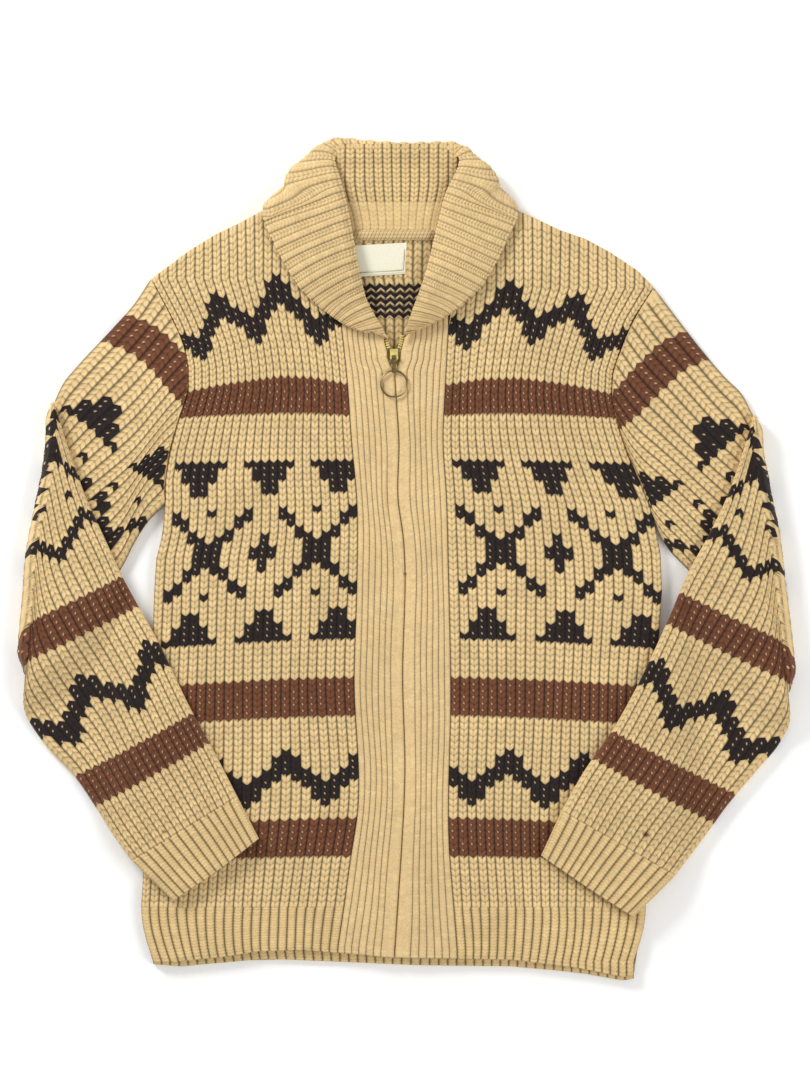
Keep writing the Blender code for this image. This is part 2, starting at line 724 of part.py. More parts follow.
def strip(name, centre_line, half, low_z, high_z, finish, y_from, y_to, rows):
    """A flat strip that follows a line up the garment, with its width and its height."""
    top, bottom = [], []
    for k in range(rows + 1):
        y = y_from + (y_to - y_from) * k / rows
        x = centre_line(y)
        top.append([(x - half, y, high_z), (x + half, y, high_z)])
        bottom.append([(x - half, y, low_z), (x + half, y, low_z)])
    return wall(name, top, bottom, finish)


def cut(solid, cutter):
    modifier = solid.modifiers.new("cut", "BOOLEAN")
    modifier.object = cutter
    modifier.operation = "DIFFERENCE"
    cutter.hide_render = True
    cutter.display_type = "WIRE"


def rod_x(bm, radius, length, place, segments=16):
    """Adds a rod along X to a mesh in the making."""
    turn = Matrix.Translation(Vector(place) * MM) @ Matrix.Rotation(math.pi / 2, 4, "Y")
    bmesh.ops.create_cone(
        bm, cap_ends=True, segments=segments, radius1=radius * MM, radius2=radius * MM, depth=length * MM, matrix=turn
    )


def block(bm, low, high):
    size = [(b - a) * MM for a, b in zip(low, high)]
    middle = [(a + b) / 2 * MM for a, b in zip(low, high)]
    place = Matrix.Translation(middle) @ Matrix.Diagonal((*size, 1))
    bmesh.ops.create_cube(bm, size=1, matrix=place)


def build_zip(tape, brass):
    def centre(y):
        return x_at(CENTRE, y)

    for name, sign in (("zip_tape_right", -1), ("zip_tape_left", 1)):
        half = TAPE_WIDE / 2
        strip(name, lambda y, s=sign: centre(y) + s * (half + 0.3), half, 5.5, 6.3, tape, -358, 179, 10)
    strip("zip_chain", centre, CHAIN_HALF, 6.6, 8.5, brass, -356, 179, 12)

    for name, sign in (("zip_row_right", -1), ("zip_row_left", 1)):

        def parted(y, sign=sign):
            return ZIP_X + sign * (band_gap(y) - 2.1)

        strip(name, parted, 1.1, 6.8, 11.4, brass, 193.4, 206, 3)

    # The slider: a rounded body, and two ears that carry a cross bar for the pull
    bm = bmesh.new()
    block(bm, (ZIP_X - 3.9, SLIDER_Y - 5, 8.9), (ZIP_X + 3.9, SLIDER_Y + 5.6, 12.4))
    for vert in bm.verts:
        if vert.co.y < SLIDER_Y * MM:
            vert.co.x = ZIP_X * MM + (vert.co.x - ZIP_X * MM) * 0.8
    bmesh.ops.bevel(bm, geom=bm.edges[:], offset=0.5 * MM, segments=2, affect="EDGES")
    slider = add_object("zip_slider", bm, brass)
    for side in (-1, 1):
        bm = bmesh.new()
        x = ZIP_X + side * 3.0
        block(bm, (x - 0.7, BAR_Y - 1.5, 11.4), (x + 0.7, BAR_Y + 1.5, PULL_Z + 1.2))
        ear = add_object(f"ear_cutter_{side + 1}", bm, brass)
        join_to(slider, ear)
    bm = bmesh.new()
    rod_x(bm, WIRE, 6.4, (ZIP_X, BAR_Y, PULL_Z))
    join_to(slider, add_object("bar_cutter", bm, brass))
    bm = bmesh.new()
    block(bm, (ZIP_X - 2.3, BAR_Y - 2.4, 12.0), (ZIP_X + 2.3, BAR_Y + 2.4, PULL_Z - WIRE - 0.2))
    pocket = add_object("pocket_cutter", bm, brass)
    cut(slider, pocket)

    # The link: two eyes and a flat bar between them, over the slider's bar and the ring's wire
    bm = bmesh.new()
    middle_y = (BAR_Y + RING_TOP_Y) / 2
    reach = (BAR_Y - RING_TOP_Y) / 2 - 1.4
    block(bm, (ZIP_X - 1.7, middle_y - reach, PULL_Z - 0.6), (ZIP_X + 1.7, middle_y + reach, PULL_Z + 0.6))
    link = add_object("zip_link", bm, brass)
    for k, y in enumerate((BAR_Y, RING_TOP_Y)):
        bm = bmesh.new()
        rod_x(bm, EYE_RADIUS, 3.8, (ZIP_X, y, PULL_Z))
        join_to(link, add_object(f"eye_cutter_{k}", bm, brass))
    for k, y in enumerate((BAR_Y, RING_TOP_Y)):
        bm = bmesh.new()
        rod_x(bm, EYE_HOLE, 8.0, (ZIP_X, y, PULL_Z))
        hole = add_object(f"hole_cutter_{k}", bm, brass)
        cut(link, hole)

    # The ring: a round wire bent to a circle
    bm = bmesh.new()
    turns, round_wire = 32, 8
    centre_y = RING_TOP_Y - RING_RADIUS
    rings = []
    for i in range(turns):
        a = 2 * math.pi * i / turns
        ring = []
        for j in range(round_wire):
            b = 2 * math.pi * j / round_wire
            r = RING_RADIUS + WIRE * math.cos(b)
            point = (ZIP_X + r * math.cos(a), centre_y + r * math.sin(a), PULL_Z + WIRE * math.sin(b))
            ring.append(bm.verts.new([c * MM for c in point]))
        rings.append(ring)
    for i in range(turns):
        a, b = rings[i], rings[(i + 1) % turns]
        for j in range(round_wire):
            k = (j + 1) % round_wire
            bm.faces.new((a[j], b[j], b[k], a[k]))
    add_object("zip_ring", bm, brass)


def join_to(solid, extra):
    modifier = solid.modifiers.new("join", "BOOLEAN")
    modifier.object = extra
    modifier.operation = "UNION"
    extra.hide_render = True
    extra.display_type = "WIRE"


def main():
    for old in list(bpy.data.objects):
        bpy.data.objects.remove(old)
    wool = material("wool_knit", TAN)
    label_cloth = material("label_cloth", LABEL_WHITE, 0.7)
    tape = material("zip_tape", TAPE_TAN, 0.8)
    brass = material("brass", BRASS, 0.3, 1.0)
    build_back(wool)
    build_fronts(wool)
    build_hem_ribs(wool)
    build_bands(wool)
    build_sleeve("sleeve_right", 1, ARMHOLE_R, OUTER_R, CREASE_R, UNDERARM_R, RIDGE_R, FOREARM_R, wool)
    build_sleeve("sleeve_left", -1, ARMHOLE_L, OUTER_L, CREASE_L, UNDERARM_L, RIDGE_L, FOREARM_L, wool)
    build_cuff("cuff_right", RIDGE_R, FOREARM_R, CUFF_END_R, wool)
    build_cuff("cuff_left", RIDGE_L, FOREARM_L, CUFF_END_L, wool)
    build_collar(wool)
    build_neck(wool, label_cloth)
    build_zip(tape, brass)


main()
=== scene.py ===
# %% [markdown]
# A shawl collar cardigan in heavy ribbed wool, zipped up and laid flat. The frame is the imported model:
# every knitted piece here takes the place of one of its solids, on the same outline and at the same height.
# All sizes are in millimetres until a mesh is made. The wearer's right half is at -X.

# %% Load the frame
import math

import bpy
import numpy as np
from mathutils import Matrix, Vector


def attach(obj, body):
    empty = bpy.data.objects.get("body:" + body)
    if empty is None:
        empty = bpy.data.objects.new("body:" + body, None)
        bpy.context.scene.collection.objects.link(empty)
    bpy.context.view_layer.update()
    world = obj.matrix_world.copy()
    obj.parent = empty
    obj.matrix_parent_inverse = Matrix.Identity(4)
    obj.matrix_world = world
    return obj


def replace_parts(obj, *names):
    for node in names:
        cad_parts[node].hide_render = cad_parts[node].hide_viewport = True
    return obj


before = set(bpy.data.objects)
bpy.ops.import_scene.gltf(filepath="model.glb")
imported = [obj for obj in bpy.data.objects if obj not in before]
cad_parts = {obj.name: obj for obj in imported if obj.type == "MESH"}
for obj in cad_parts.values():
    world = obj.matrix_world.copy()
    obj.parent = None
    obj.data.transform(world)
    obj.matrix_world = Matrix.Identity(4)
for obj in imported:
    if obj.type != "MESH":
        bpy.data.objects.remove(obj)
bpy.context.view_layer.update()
MM = 0.001
SHIFT = np.array([0.3, 2.25, 0.0])  # from the photo's own middle to the frame's origin
HAIR = 0.05  # keeps two surfaces from lying in one plane
GARMENT = "garment"
print("nodes:", len(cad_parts))

# %% [markdown]
# The camera looks straight down, as the photo does, through a long lens from 3 m, so that nothing leans.
# A photo pixel covers 0.92 mm.

# %% Camera
PIXEL = 0.92
PHOTO_HIGH = 1080
CAMERA_HIGH = 3.0
SENSOR = 36.0
look_at = Vector((-0.0016, 0.0192, 0.010))
eye = bpy.data.cameras.new("camera")
eye.sensor_fit = "VERTICAL"
eye.sensor_height = SENSOR
eye.lens = SENSOR * CAMERA_HIGH / (PHOTO_HIGH * PIXEL * MM)
camera = bpy.data.objects.new("camera", eye)
camera.location = look_at + Vector((0, 0, CAMERA_HIGH))
bpy.context.scene.collection.objects.link(camera)
bpy.context.scene.camera = camera
bpy.context.scene.view_settings.view_transform = "Standard"
print("camera", CAMERA_HIGH, "m above the garment, lens", round(eye.lens), "mm")

# %% [markdown]
# The floor is plain and pale. The light is soft and comes mostly from the top left, low enough to shade
# the ribs, and the pale surroundings fill the shade.

# %% Floor and light
FLOOR_WIDE = 12
FLOOR_DEPTH = 0.0004


def soft_lamp(name, place, size, watts):
    lamp = bpy.data.lights.new(name, "AREA")
    lamp.shape = "DISK"
    lamp.size = size
    lamp.energy = watts
    made = bpy.data.objects.new(name, lamp)
    made.location = place
    made.rotation_euler = (look_at - Vector(place)).to_track_quat("-Z", "Y").to_euler()
    bpy.context.scene.collection.objects.link(made)


soft_lamp("key", (-1.5, 1.6, 1.35), size=0.8, watts=48)
soft_lamp("fill", (1.8, -0.5, 1.8), size=1.5, watts=27)
world = bpy.data.worlds.new("studio")
world.use_nodes = True
background = world.node_tree.nodes["Background"]
background.inputs["Color"].default_value = (1.0, 1.0, 1.0, 1)
background.inputs["Strength"].default_value = 0.55
bpy.context.scene.world = world

bpy.ops.object.select_all(action="DESELECT")
bpy.ops.mesh.primitive_plane_add(size=FLOOR_WIDE, location=(0, 0, -FLOOR_DEPTH))
floor = bpy.context.object
floor.name = "floor"
paint = bpy.data.materials.new("pale_floor")
paint.use_nodes = True
coat = paint.node_tree.nodes["Principled BSDF"]
coat.inputs["Base Color"].default_value = (0.97, 0.97, 0.96, 1)
coat.inputs["Roughness"].default_value = 0.9
floor.data.materials.append(paint)
print("lamps: key and fill; floor", FLOOR_WIDE, "m wide")

# %% [markdown]
# The pattern pieces' outlines were read off the photo. They run up the garment or across it, and the
# fronts, the back and the sleeves share the same lines where they are sewn together. Names that end in R
# are for the wearer's right.

# %% Outlines of the pieces, seen from above, as (x, y)
SEAM = 0.3
HEM_TOP = -321.0
BAND_TOP = 211.0
SIDE_R = [
    (-245, -321), (-243, -287), (-240, -200), (-236, -110), (-234, -57), (-233, -30), (-231, 0),
    (-225, 24), (-223, 50),
]
ARMHOLE_R = [
    (-223, 50), (-223, 72), (-219, 97), (-211.5, 125), (-202, 155), (-202, 176), (-206, 197),
    (-216, 220), (-235.5, 257),
]
SIDE_L = [
    (220, -321), (222, -287), (226, -190), (229, -110), (233, -60), (235, -30), (233.5, 5), (228, 32),
    (224, 50),
]
ARMHOLE_L = [
    (224, 50), (214, 72), (204, 94), (195, 120), (188.5, 150), (190, 172), (196, 190), (209, 220),
    (227, 249),
]
SHOULDER_R = [
    (-235.5, 257), (-218, 270), (-199, 284), (-176, 298), (-156, 307), (-133, 319), (-84, 340),
]
SHOULDER_L = [(227, 249), (212.5, 264.5), (187, 281.5), (164, 294), (140, 302), (118, 312), (60, 338)]
NECK_R = [(-84, 340), (-66, 290), (-61, 212)]
NECK_L = [(60, 338), (45, 290), (39, 212)]
COURSES_R = [(-235.5, 257), (-199, 284), (-156, 305), (-133, 316), (-100, 312), (-61, 288)]
COURSES_L = [(227, 249), (187, 279), (140, 302), (118, 309), (80, 306), (39, 284)]
BAND_EDGE_R = [
    (-63.5, -358), (-58, -321), (-51.5, -274), (-46, -239), (-48.5, -108), (-46, -23.5), (-46, 52),
    (-51, 109), (-55, 164), (-60, 212),
]
BAND_EDGE_L = [
    (46, -360), (43, -321), (39, -272), (40, -115), (38, -16), (36, 59), (33, 109), (35, 156),
    (38, 212),
]
CENTRE = [
    (-11.4, -362), (-8, -311), (-4, -249.5), (-2, -198), (-4, -117), (-4, 23.5), (-8, 52),
    (-7.5, 109), (-10, 148), (-12, 178),
]
HEM_FRONT = [
    (-236, -371), (-215, -371), (-165, -366), (-135, -361), (-98, -360), (-64, -362.5), (-17, -367),
    (5, -367.5), (98, -369), (160, -377), (199, -385), (211, -383),
]
HEM_BACK = [
    (-236, -374), (-208, -376), (-130, -369), (-68, -371.5), (12, -375), (98, -376), (160, -382),
    (199, -389), (211, -387),
]
BACK_NECK = [(-84, 340), (-74, 310), (-56, 296), (34, 296), (50, 310), (60, 338)]
OUTER_R = [(-235.5, 257), (-251, 234), (-270.5, 212), (-304, 176), (-316, 161.5), (-327, 144)]
UNDERARM_R = [(-223, 50), (-239, 34), (-251, 15.5), (-263, -8), (-310, -58), (-356, -106)]
CREASE_R = [
    (-327, 144), (-333, 115), (-335, 89), (-344, 43), (-350.5, 9), (-355, -38), (-358, -74),
    (-358, -106),
]
RIDGE_R = [
    (-327, 144), (-308, 93), (-295, 57), (-280, 24), (-258.5, -22), (-229, -75), (-199, -137),
    (-175, -181), (-156, -218),
]
FOREARM_R = [
    (-358, -106), (-352, -141), (-337, -167), (-304.5, -203), (-287, -229), (-269, -256),
    (-253, -277),
]
CUFF_END_R = [(-136, -257), (-175, -287), (-215, -314)]
OUTER_L = [(227, 249), (249, 220), (270, 193), (295, 164), (306, 153.5), (321, 132)]
UNDERARM_L = [(224, 50), (234, 20), (241, 9), (258, -9), (305, -66), (356, -122)]
CREASE_L = [
    (321, 132), (329, 97), (332, 80.5), (337, 52), (342, 29), (348, -18), (356, -80), (358, -122),
]
RIDGE_L = [
    (321, 132), (303, 82), (295, 60), (277, 22), (259, -11), (239, -57.5), (208, -123), (190, -155),
    (162, -196), (142, -231),
]
FOREARM_L = [(358, -122), (351, -155), (344, -169), (322, -196), (294, -229), (276, -254), (247, -291)]
CUFF_END_L = [(123, -272.5), (172, -306), (208, -329)]

print("across the chest:", ARMHOLE_L[0][0] - ARMHOLE_R[0][0], "mm")

# %% [markdown]
# A few helpers turn the outlines into curves and read them along either direction. The zip's middle line
# and the bands' edges are softened first, because long straight steps would show there.

# %% Curves
def smooth(t):
    """Eases from 0 to 1 as t does, and stays level outside."""
    t = np.clip(t, 0.0, 1.0)
    return t * t * (3 - 2 * t)


def curve(points, count=160):
    """A smooth curve through the points, read by share of its length."""
    p = np.array(points, float)
    steps = np.hypot(*(p[1:] - p[:-1]).T)
    at = np.concatenate([[0], np.cumsum(steps)])
    slopes = np.gradient(p, at, axis=0)
    t = np.linspace(0, at[-1], count)
    k = np.clip(np.searchsorted(at, t, side="right") - 1, 0, len(p) - 2)
    span = (at[k + 1] - at[k])[:, None]
    f = ((t - at[k]) / span[:, 0])[:, None]
    f2, f3 = f * f, f * f * f
    path = (2 * f3 - 3 * f2 + 1) * p[k] + (f3 - 2 * f2 + f) * span * slopes[k]
    path += (3 * f2 - 2 * f3) * p[k + 1] + (f3 - f2) * span * slopes[k + 1]
    share = np.linspace(0, 1, count)
    return lambda s: np.stack([np.interp(s, share, path[:, 0]), np.interp(s, share, path[:, 1])], -1)


def x_at(points, y):
    """Where a line that runs up the garment stands at height y."""
    p = sorted(points, key=lambda q: q[1])
    return np.interp(y, [q[1] for q in p], [q[0] for q in p])


def y_at(points, x):
    """Where a line that runs across the garment stands at x."""
    p = sorted(points, key=lambda q: q[0])
    return np.interp(x, [q[0] for q in p], [q[1] for q in p])


def softened(points):
    """The same line as many short steps of a smooth curve."""
    return [tuple(p) for p in curve(points)(np.linspace(0, 1, 160))]


CENTRE, BAND_EDGE_R, BAND_EDGE_L = softened(CENTRE), softened(BAND_EDGE_R), softened(BAND_EDGE_L)
print("points on each softened line:", len(CENTRE))

# %% [markdown]
# The layers lie on one another, so each has its height above the surface. The cloth rises over the
# collar's back at the neck. The lower arm lies over the body and over the upper arm, and comes down to the
# surface beyond them.

# %% Heights of the layers
BACK_THICK = 5.0
FRONT_BASE = 5.4
FRONT_THICK = 5.0
TUBE = 11.0
CORE = 0.35
NECK_LIFT = 5.9
BAND_TOP_AT_ZIP = 12.0
BAND_BASE_AT_ZIP = 8.8


def lift(x, y):
    """How far the neck rises where the collar's back lies under it."""
    return NECK_LIFT * smooth((y - 232) / 58) * (1 - smooth((abs(x + 13) - 118) / 55))


def front_base(x, y):
    return FRONT_BASE + lift(x, y + 12) + 0.2 * lift(x, y + 25)


def outline_distance(polygon, x, y):
    """How far points lie outside a polygon, 0 inside it."""
    p = np.array(polygon, float)
    inside = np.zeros(x.shape, bool)
    nearest = np.full(x.shape, 1e9)
    for a, b in zip(p, np.roll(p, -1, axis=0)):
        side = b - a
        length = float(side @ side) + 1e-9
        share = np.clip(((x - a[0]) * side[0] + (y - a[1]) * side[1]) / length, 0, 1)
        nearest = np.minimum(nearest, np.hypot(a[0] + side[0] * share - x, a[1] + side[1] * share - y))
        if a[1] != b[1]:
            crossing = ((a[1] > y) != (b[1] > y)) & (x < side[0] * (y - a[1]) / side[1] + a[0])
            inside ^= crossing
    return np.where(inside, 0.0, nearest)


BODY_HEM = [(211, -387), (199, -389), (98, -377), (12, -376), (-130, -370), (-208, -377), (-236, -374)]
BODY = SIDE_R + SIDE_L[::-1] + BODY_HEM
UPPER_ARM_R = ARMHOLE_R + OUTER_R[1:] + CREASE_R[1:] + UNDERARM_R[::-1][1:-1]
UPPER_ARM_L = ARMHOLE_L + OUTER_L[1:] + CREASE_L[1:] + UNDERARM_L[::-1][1:-1]
REST_ON = TUBE + 2 * CORE


def rest_height(x, y):
    """The height of what the folded lower arm lies on."""
    gap = np.minimum.reduce([outline_distance(shape, x, y) for shape in (BODY, UPPER_ARM_R, UPPER_ARM_L)])
    return REST_ON * (1 - smooth((gap - 9) / 42))


print("the folded arm rests", REST_ON, "mm above the surface")

# %% [markdown]
# A knitted cloth is rows of V-shaped stitches stacked in columns, called wales. A wale is built here from
# four or six vertex columns and a stitch from two to four vertex rows. The rows dip in the middle of a
# wale, so the faces themselves follow the V, and a colour change steps from stitch to stitch as real
# knitting does. A bump alone would lose that stepped edge and the dark gaps between wales.

# %% The stitch's form
# Each kind of stitch: places and heights across a wale, then places and heights along a course.
FINE = (
    np.array([0.0, 0.15, 0.33, 0.5, 0.67, 0.85]),
    np.array([0.0, 0.72, 1.0, 0.5, 1.0, 0.72]),
    np.array([0.0, 0.27, 0.52, 0.78]),
    np.array([0.0, 0.85, 1.0, 0.72]),
)
RIB = (
    np.array([0.0, 0.14, 0.32, 0.5, 0.68, 0.86]),
    np.array([0.0, 0.6, 0.98, 0.86, 0.98, 0.6]),
    np.array([0.0, 0.36, 0.7]),
    np.array([0.35, 1.0, 0.8]),
)
SMOOTH_RIB = (
    np.array([0.0, 0.1, 0.3, 0.5, 0.7, 0.9]),
    np.array([0.0, 0.66, 0.98, 1.0, 0.98, 0.66]),
    np.array([0.0, 0.5]),
    np.array([0.56, 1.0]),
)
COARSE = (
    np.array([0.0, 0.28, 0.5, 0.72]),
    np.array([0.0, 1.0, 0.6, 1.0]),
    np.array([0.0, 0.36, 0.7]),
    np.array([0.0, 1.0, 0.8]),
)
YARN = {
    "tan": (0.765, 0.553, 0.268),
    "brown": (0.165, 0.056, 0.024),
    "black": (0.016, 0.009, 0.009),
    "fleck": (0.60, 0.44, 0.24),
}
TAN, BROWN, BLACK = 0, 1, 2
FULL_LIGHT = 0.72  # a stitch this high, as a share of its full height, isn't in shade
END_HIGH = 0.85
PALETTE = np.array([YARN["tan"], YARN["brown"], YARN["black"]])
MARKS = [
    # (x, y, radius, red, green, blue): a burr on the band, a spot on the cuff and a faint one
    (-1.8, -14.3, 1.6, 0.22, 0.12, 0.05),
    (219, -252.5, 2.9, 0.13, 0.06, 0.03),
    (-222.6, -250, 2.0, 0.40, 0.27, 0.13),
]
for kind, detail in (("fine", FINE), ("rib", RIB), ("smooth rib", SMOOTH_RIB), ("coarse", COARSE)):
    print("vertices in a stitch,", kind, len(detail[0]) * len(detail[2]))

# %% [markdown]
# The outside of a piece is a fine grid of vertices and its inner side a coarse one. The first function
# fills the strip between their edges with triangles, so that the piece is closed.

# %% Where the vertices stand
def stitch(fine, coarse):
    """Triangles between two rows of vertex numbers, the second with fewer."""
    made = []
    i = j = 0
    while i < len(fine) - 1 or j < len(coarse) - 1:
        next_fine = (i + 1) / max(len(fine) - 1, 1)
        next_coarse = (j + 1) / max(len(coarse) - 1, 1)
        if j == len(coarse) - 1 or (i < len(fine) - 1 and next_fine <= next_coarse + 1e-9):
            made.append((fine[i], fine[i + 1], coarse[j]))
            i += 1
        else:
            made.append((fine[i], coarse[j + 1], coarse[j]))
            j += 1
    return made


def grid_faces(numbers):
    a, b = numbers[:-1, :-1], numbers[:-1, 1:]
    c, d = numbers[1:, 1:], numbers[1:, :-1]
    return np.stack([a, b, c, d], -1).reshape(-1, 4)


def surface_normals(points):
    normal = np.cross(np.gradient(points, axis=1), np.gradient(points, axis=0))
    size = np.linalg.norm(normal, axis=2, keepdims=True)
    return normal / np.maximum(size, 1e-9)


def stitch_axes(wales, courses, closed, detail):
    """Places along the wales and courses where the vertices stand, with their heights."""
    across, across_high, lengthwise, lengthwise_high = detail
    u = (np.arange(wales)[:, None] + across).ravel()
    v = (np.arange(courses)[:, None] + lengthwise).ravel()
    high_u = np.tile(across_high, wales)
    high_v = np.tile(lengthwise_high, courses)
    high_v[0] = END_HIGH
    if not closed:
        u, high_u = np.append(u, wales), np.append(high_u, 0.0)
    return u, np.append(v, courses), high_u, np.append(high_v, END_HIGH)


def coarse_grid(wales, courses, across, along):
    """A coarse grid of wale and course numbers, for a piece's plain inner side."""
    return np.meshgrid(np.linspace(0, wales, across), np.linspace(0, courses, along))


print("vertices across two wales:", stitch_axes(2, 1, False, FINE)[0])

# %% [markdown]
# Each piece becomes one mesh. Its faces hold the yarn's colour and its vertices hold the stitch's height,
# which the wool reads to paint shade into the gaps.

# %% One object from vertices and faces
def make_object(name, points, faces, colours, height):
    """Joins vertices, faces, the faces' yarn colours and the vertices' heights into one object."""
    mesh = bpy.data.meshes.new(name)
    mesh.from_pydata((points + SHIFT) * MM, [], [tuple(int(k) for k in f) for f in faces])
    attribute = mesh.attributes.new("yarn", "FLOAT_COLOR", "FACE")
    full = np.ones((len(faces), 4), np.float32)
    full[:, :3] = YARN["tan"]
    full[: len(colours), :3] = colours
    attribute.data.foreach_set("color", full.ravel())
    depth = mesh.attributes.new("height", "FLOAT", "POINT")
    full_height = np.full(len(points), FULL_LIGHT, np.float32)
    full_height[: len(height)] = height
    depth.data.foreach_set("value", full_height)
    mesh.validate()
    piece = bpy.data.objects.new(name, mesh)
    bpy.context.scene.collection.objects.link(piece)
    bpy.ops.object.select_all(action="DESELECT")
    bpy.context.view_layer.objects.active = piece
    piece.select_set(True)
    bpy.ops.object.mode_set(mode="EDIT")
    bpy.ops.mesh.select_all(action="SELECT")
    bpy.ops.mesh.normals_make_consistent(inside=False)
    bpy.ops.object.mode_set(mode="OBJECT")
    piece.select_set(False)
    mesh.shade_smooth()
    return piece


print("a vertex without a height of its own gets", FULL_LIGHT)

# %% [markdown]
# A chart says which yarn each stitch is in. The dark yarn shows a pale fleck where it is carried behind
# the next stitch, and no two stitches have quite the same tone.

# %% The yarn's colours
def yarn_colours(chart, wales, courses, centres, seed, detail, floats):
    """One colour for each face: the chart's yarn, a pale fleck in the dark stitches, and some variety."""
    rng = np.random.default_rng(seed)
    per_wale, per_course = len(detail[0]), len(detail[2])
    columns, rows = per_wale * wales, per_course * courses

    def spread(values):
        return np.repeat(np.repeat(values, per_course, axis=0), per_wale, axis=1)

    index = np.array([[chart(w, c) for w in range(wales)] for c in range(courses)])
    tone = 1 + rng.normal(0, 0.035, (courses, wales))
    colour = PALETTE[index] * tone[:, :, None]
    colour, dark, lit = spread(colour), spread(index > 0), spread(rng.random((courses, wales)) < 0.82)
    spot = np.zeros((rows, columns), bool)
    if floats:
        spot[::per_course] = True
        lit[:] = True
    else:
        spot[::per_course, 2::per_wale] = True
    colour[dark & spot & lit] = YARN["fleck"]
    colour = colour.reshape(-1, 3)
    for x, y, radius, *stain in MARKS:
        share = np.clip(1.4 - np.hypot(centres[:, 0] - x, centres[:, 1] - y) / radius, 0, 1)[:, None]
        colour = colour * (1 - share) + np.array(stain) * share
    return colour


print("yarns:", ", ".join(YARN))

# %% [markdown]
# Knitting a piece takes its plain surface, bends each course into Vs, lets the wales wander a little, and
# lifts every vertex by its stitch's height along the surface's normal.

# %% One knitted piece
def cut_size(place, wales, courses):
    """Width, length and area of a knitted piece as it is cut, in metres, from whole wales and courses."""
    base = place(*np.meshgrid(np.arange(wales + 1.0), np.arange(courses + 1.0)))
    across = np.diff(base, axis=1)
    lengthwise = np.diff(base, axis=0)
    corners = np.cross(base[1:, 1:] - base[:-1, :-1], base[1:, :-1] - base[:-1, 1:])
    area = np.linalg.norm(corners, axis=2).sum() / 2
    width = np.linalg.norm(across, axis=2).sum(1).max() * MM
    length = np.linalg.norm(lengthwise, axis=2).sum(0).max() * MM
    return width, length, min(area * MM * MM, width * length)


def knit(name, place, wales, courses, chart, seed, relief, inner, dip=0.55, closed=False, flip=1,
         detail=FINE, floats=False, strength=None, turned=None):
    """A knitted piece. place gives its plain surface at (wale, course), and inner is its plain inner side:
    the under side of an open piece, or the hollow of a tube, which closes round."""
    u, v, high_u, high_v = stitch_axes(wales, courses, closed, detail)
    grid_u, grid_v = np.meshgrid(u, v)
    bend = dip * (abs(grid_u % 1 - 0.5) * 2 - 0.5)
    ends = np.clip(grid_v / 1.2, 0, 1) * np.clip((courses - grid_v) / 1.2, 0, 1)
    bent_v = np.clip(grid_v + bend * ends, 0, courses)
    half = wales / 2 if closed else wales
    from_edge = np.minimum(grid_u % half, half - grid_u % half)
    slow = np.sin(grid_v * 0.067 + grid_u * 0.5 + seed)
    wander = np.sin(grid_v * 0.19 + 2.4 * np.sin(grid_u * 0.31 + seed)) + slow
    base = place(grid_u + 0.055 * wander * np.clip(from_edge / 1.5, 0, 1), bent_v)
    if closed:
        wide = np.concatenate([base[:, -1:], base, base[:, :1]], axis=1)
        normal = surface_normals(wide)[:, 1:-1] * flip
    else:
        normal = surface_normals(base) * flip
    shape = high_u[None, :] * (0.42 + 0.58 * high_v[:, None])
    if turned:
        shape = turned(grid_u, bent_v, shape)
    share = strength(grid_u, bent_v) if strength else np.ones_like(grid_u)
    amount = relief * share
    points = base + normal * ((shape - 0.35) * amount)[:, :, None]
    points[:, :, 2] = np.maximum(points[:, :, 2], HAIR)
    numbers = np.arange(points.shape[0] * points.shape[1]).reshape(points.shape[:2])
    ring = np.concatenate([numbers, numbers[:, :1]], axis=1) if closed else numbers
    quads = grid_faces(ring)
    flat = points.reshape(-1, 3)
    centres = flat[quads].mean(1)
    colours = yarn_colours(chart, wales, courses, centres, seed, detail, floats)
    faces = [tuple(f) for f in quads]
    coarse = len(flat) + np.arange(inner.shape[0] * inner.shape[1]).reshape(inner.shape[:2])
    back = np.concatenate([coarse, coarse[:, :1]], axis=1) if closed else coarse
    faces += [tuple(f) for f in grid_faces(back)]
    faces += stitch(list(ring[0]), list(back[0])) + stitch(list(ring[-1]), list(back[-1]))
    if not closed:
        faces += stitch(list(ring[:, 0]), list(back[:, 0])) + stitch(list(ring[:, -1]), list(back[:, -1]))
    # the stitch heights that the wool turns into painted shade; where the stitches are weak the shade fades
    height = 1 - (1 - shape) * np.clip(share, 0, 1)
    points = np.concatenate([flat, inner.reshape(-1, 3)])
    piece = make_object(name + "_knit", points, faces, colours, height.ravel())
    width, length, area = cut_size(place, wales, courses)
    print(f"{name}: {len(quads)} stitch faces, cut {width:.3f} x {length:.3f} m, {area:.3f} m2")
    return piece, (width, length, area)


print("knit() will print each piece's stitches and cut size")

# %% [markdown]
# Every material here is built from the same few nodes, so small functions make them: noise fixed to the
# object, a value stretched to another range, a product and a bump.

# %% Helpers for the materials
def new_material(name):
    made = bpy.data.materials.new(name)
    made.use_nodes = True
    return made, made.node_tree, made.node_tree.nodes["Principled BSDF"]


def node(tree, kind, inputs, **settings):
    """A new shader node, with the values of its inputs and its settings."""
    made = tree.nodes.new(kind)
    for key, value in settings.items():
        setattr(made, key, value)
    for key, value in inputs.items():
        made.inputs[key].default_value = value
    return made


def noise_node(tree, **inputs):
    """Noise that is fixed to the object."""
    made = node(tree, "ShaderNodeTexNoise", inputs)
    place = node(tree, "ShaderNodeTexCoord", {})
    tree.links.new(place.outputs["Object"], made.inputs["Vector"])
    return made.outputs["Fac"]


def remap(tree, source, low, high, to_low, to_high):
    ranges = {"From Min": low, "From Max": high, "To Min": to_low, "To Max": to_high}
    made = node(tree, "ShaderNodeMapRange", ranges)
    tree.links.new(source, made.inputs["Value"])
    return made.outputs["Result"]


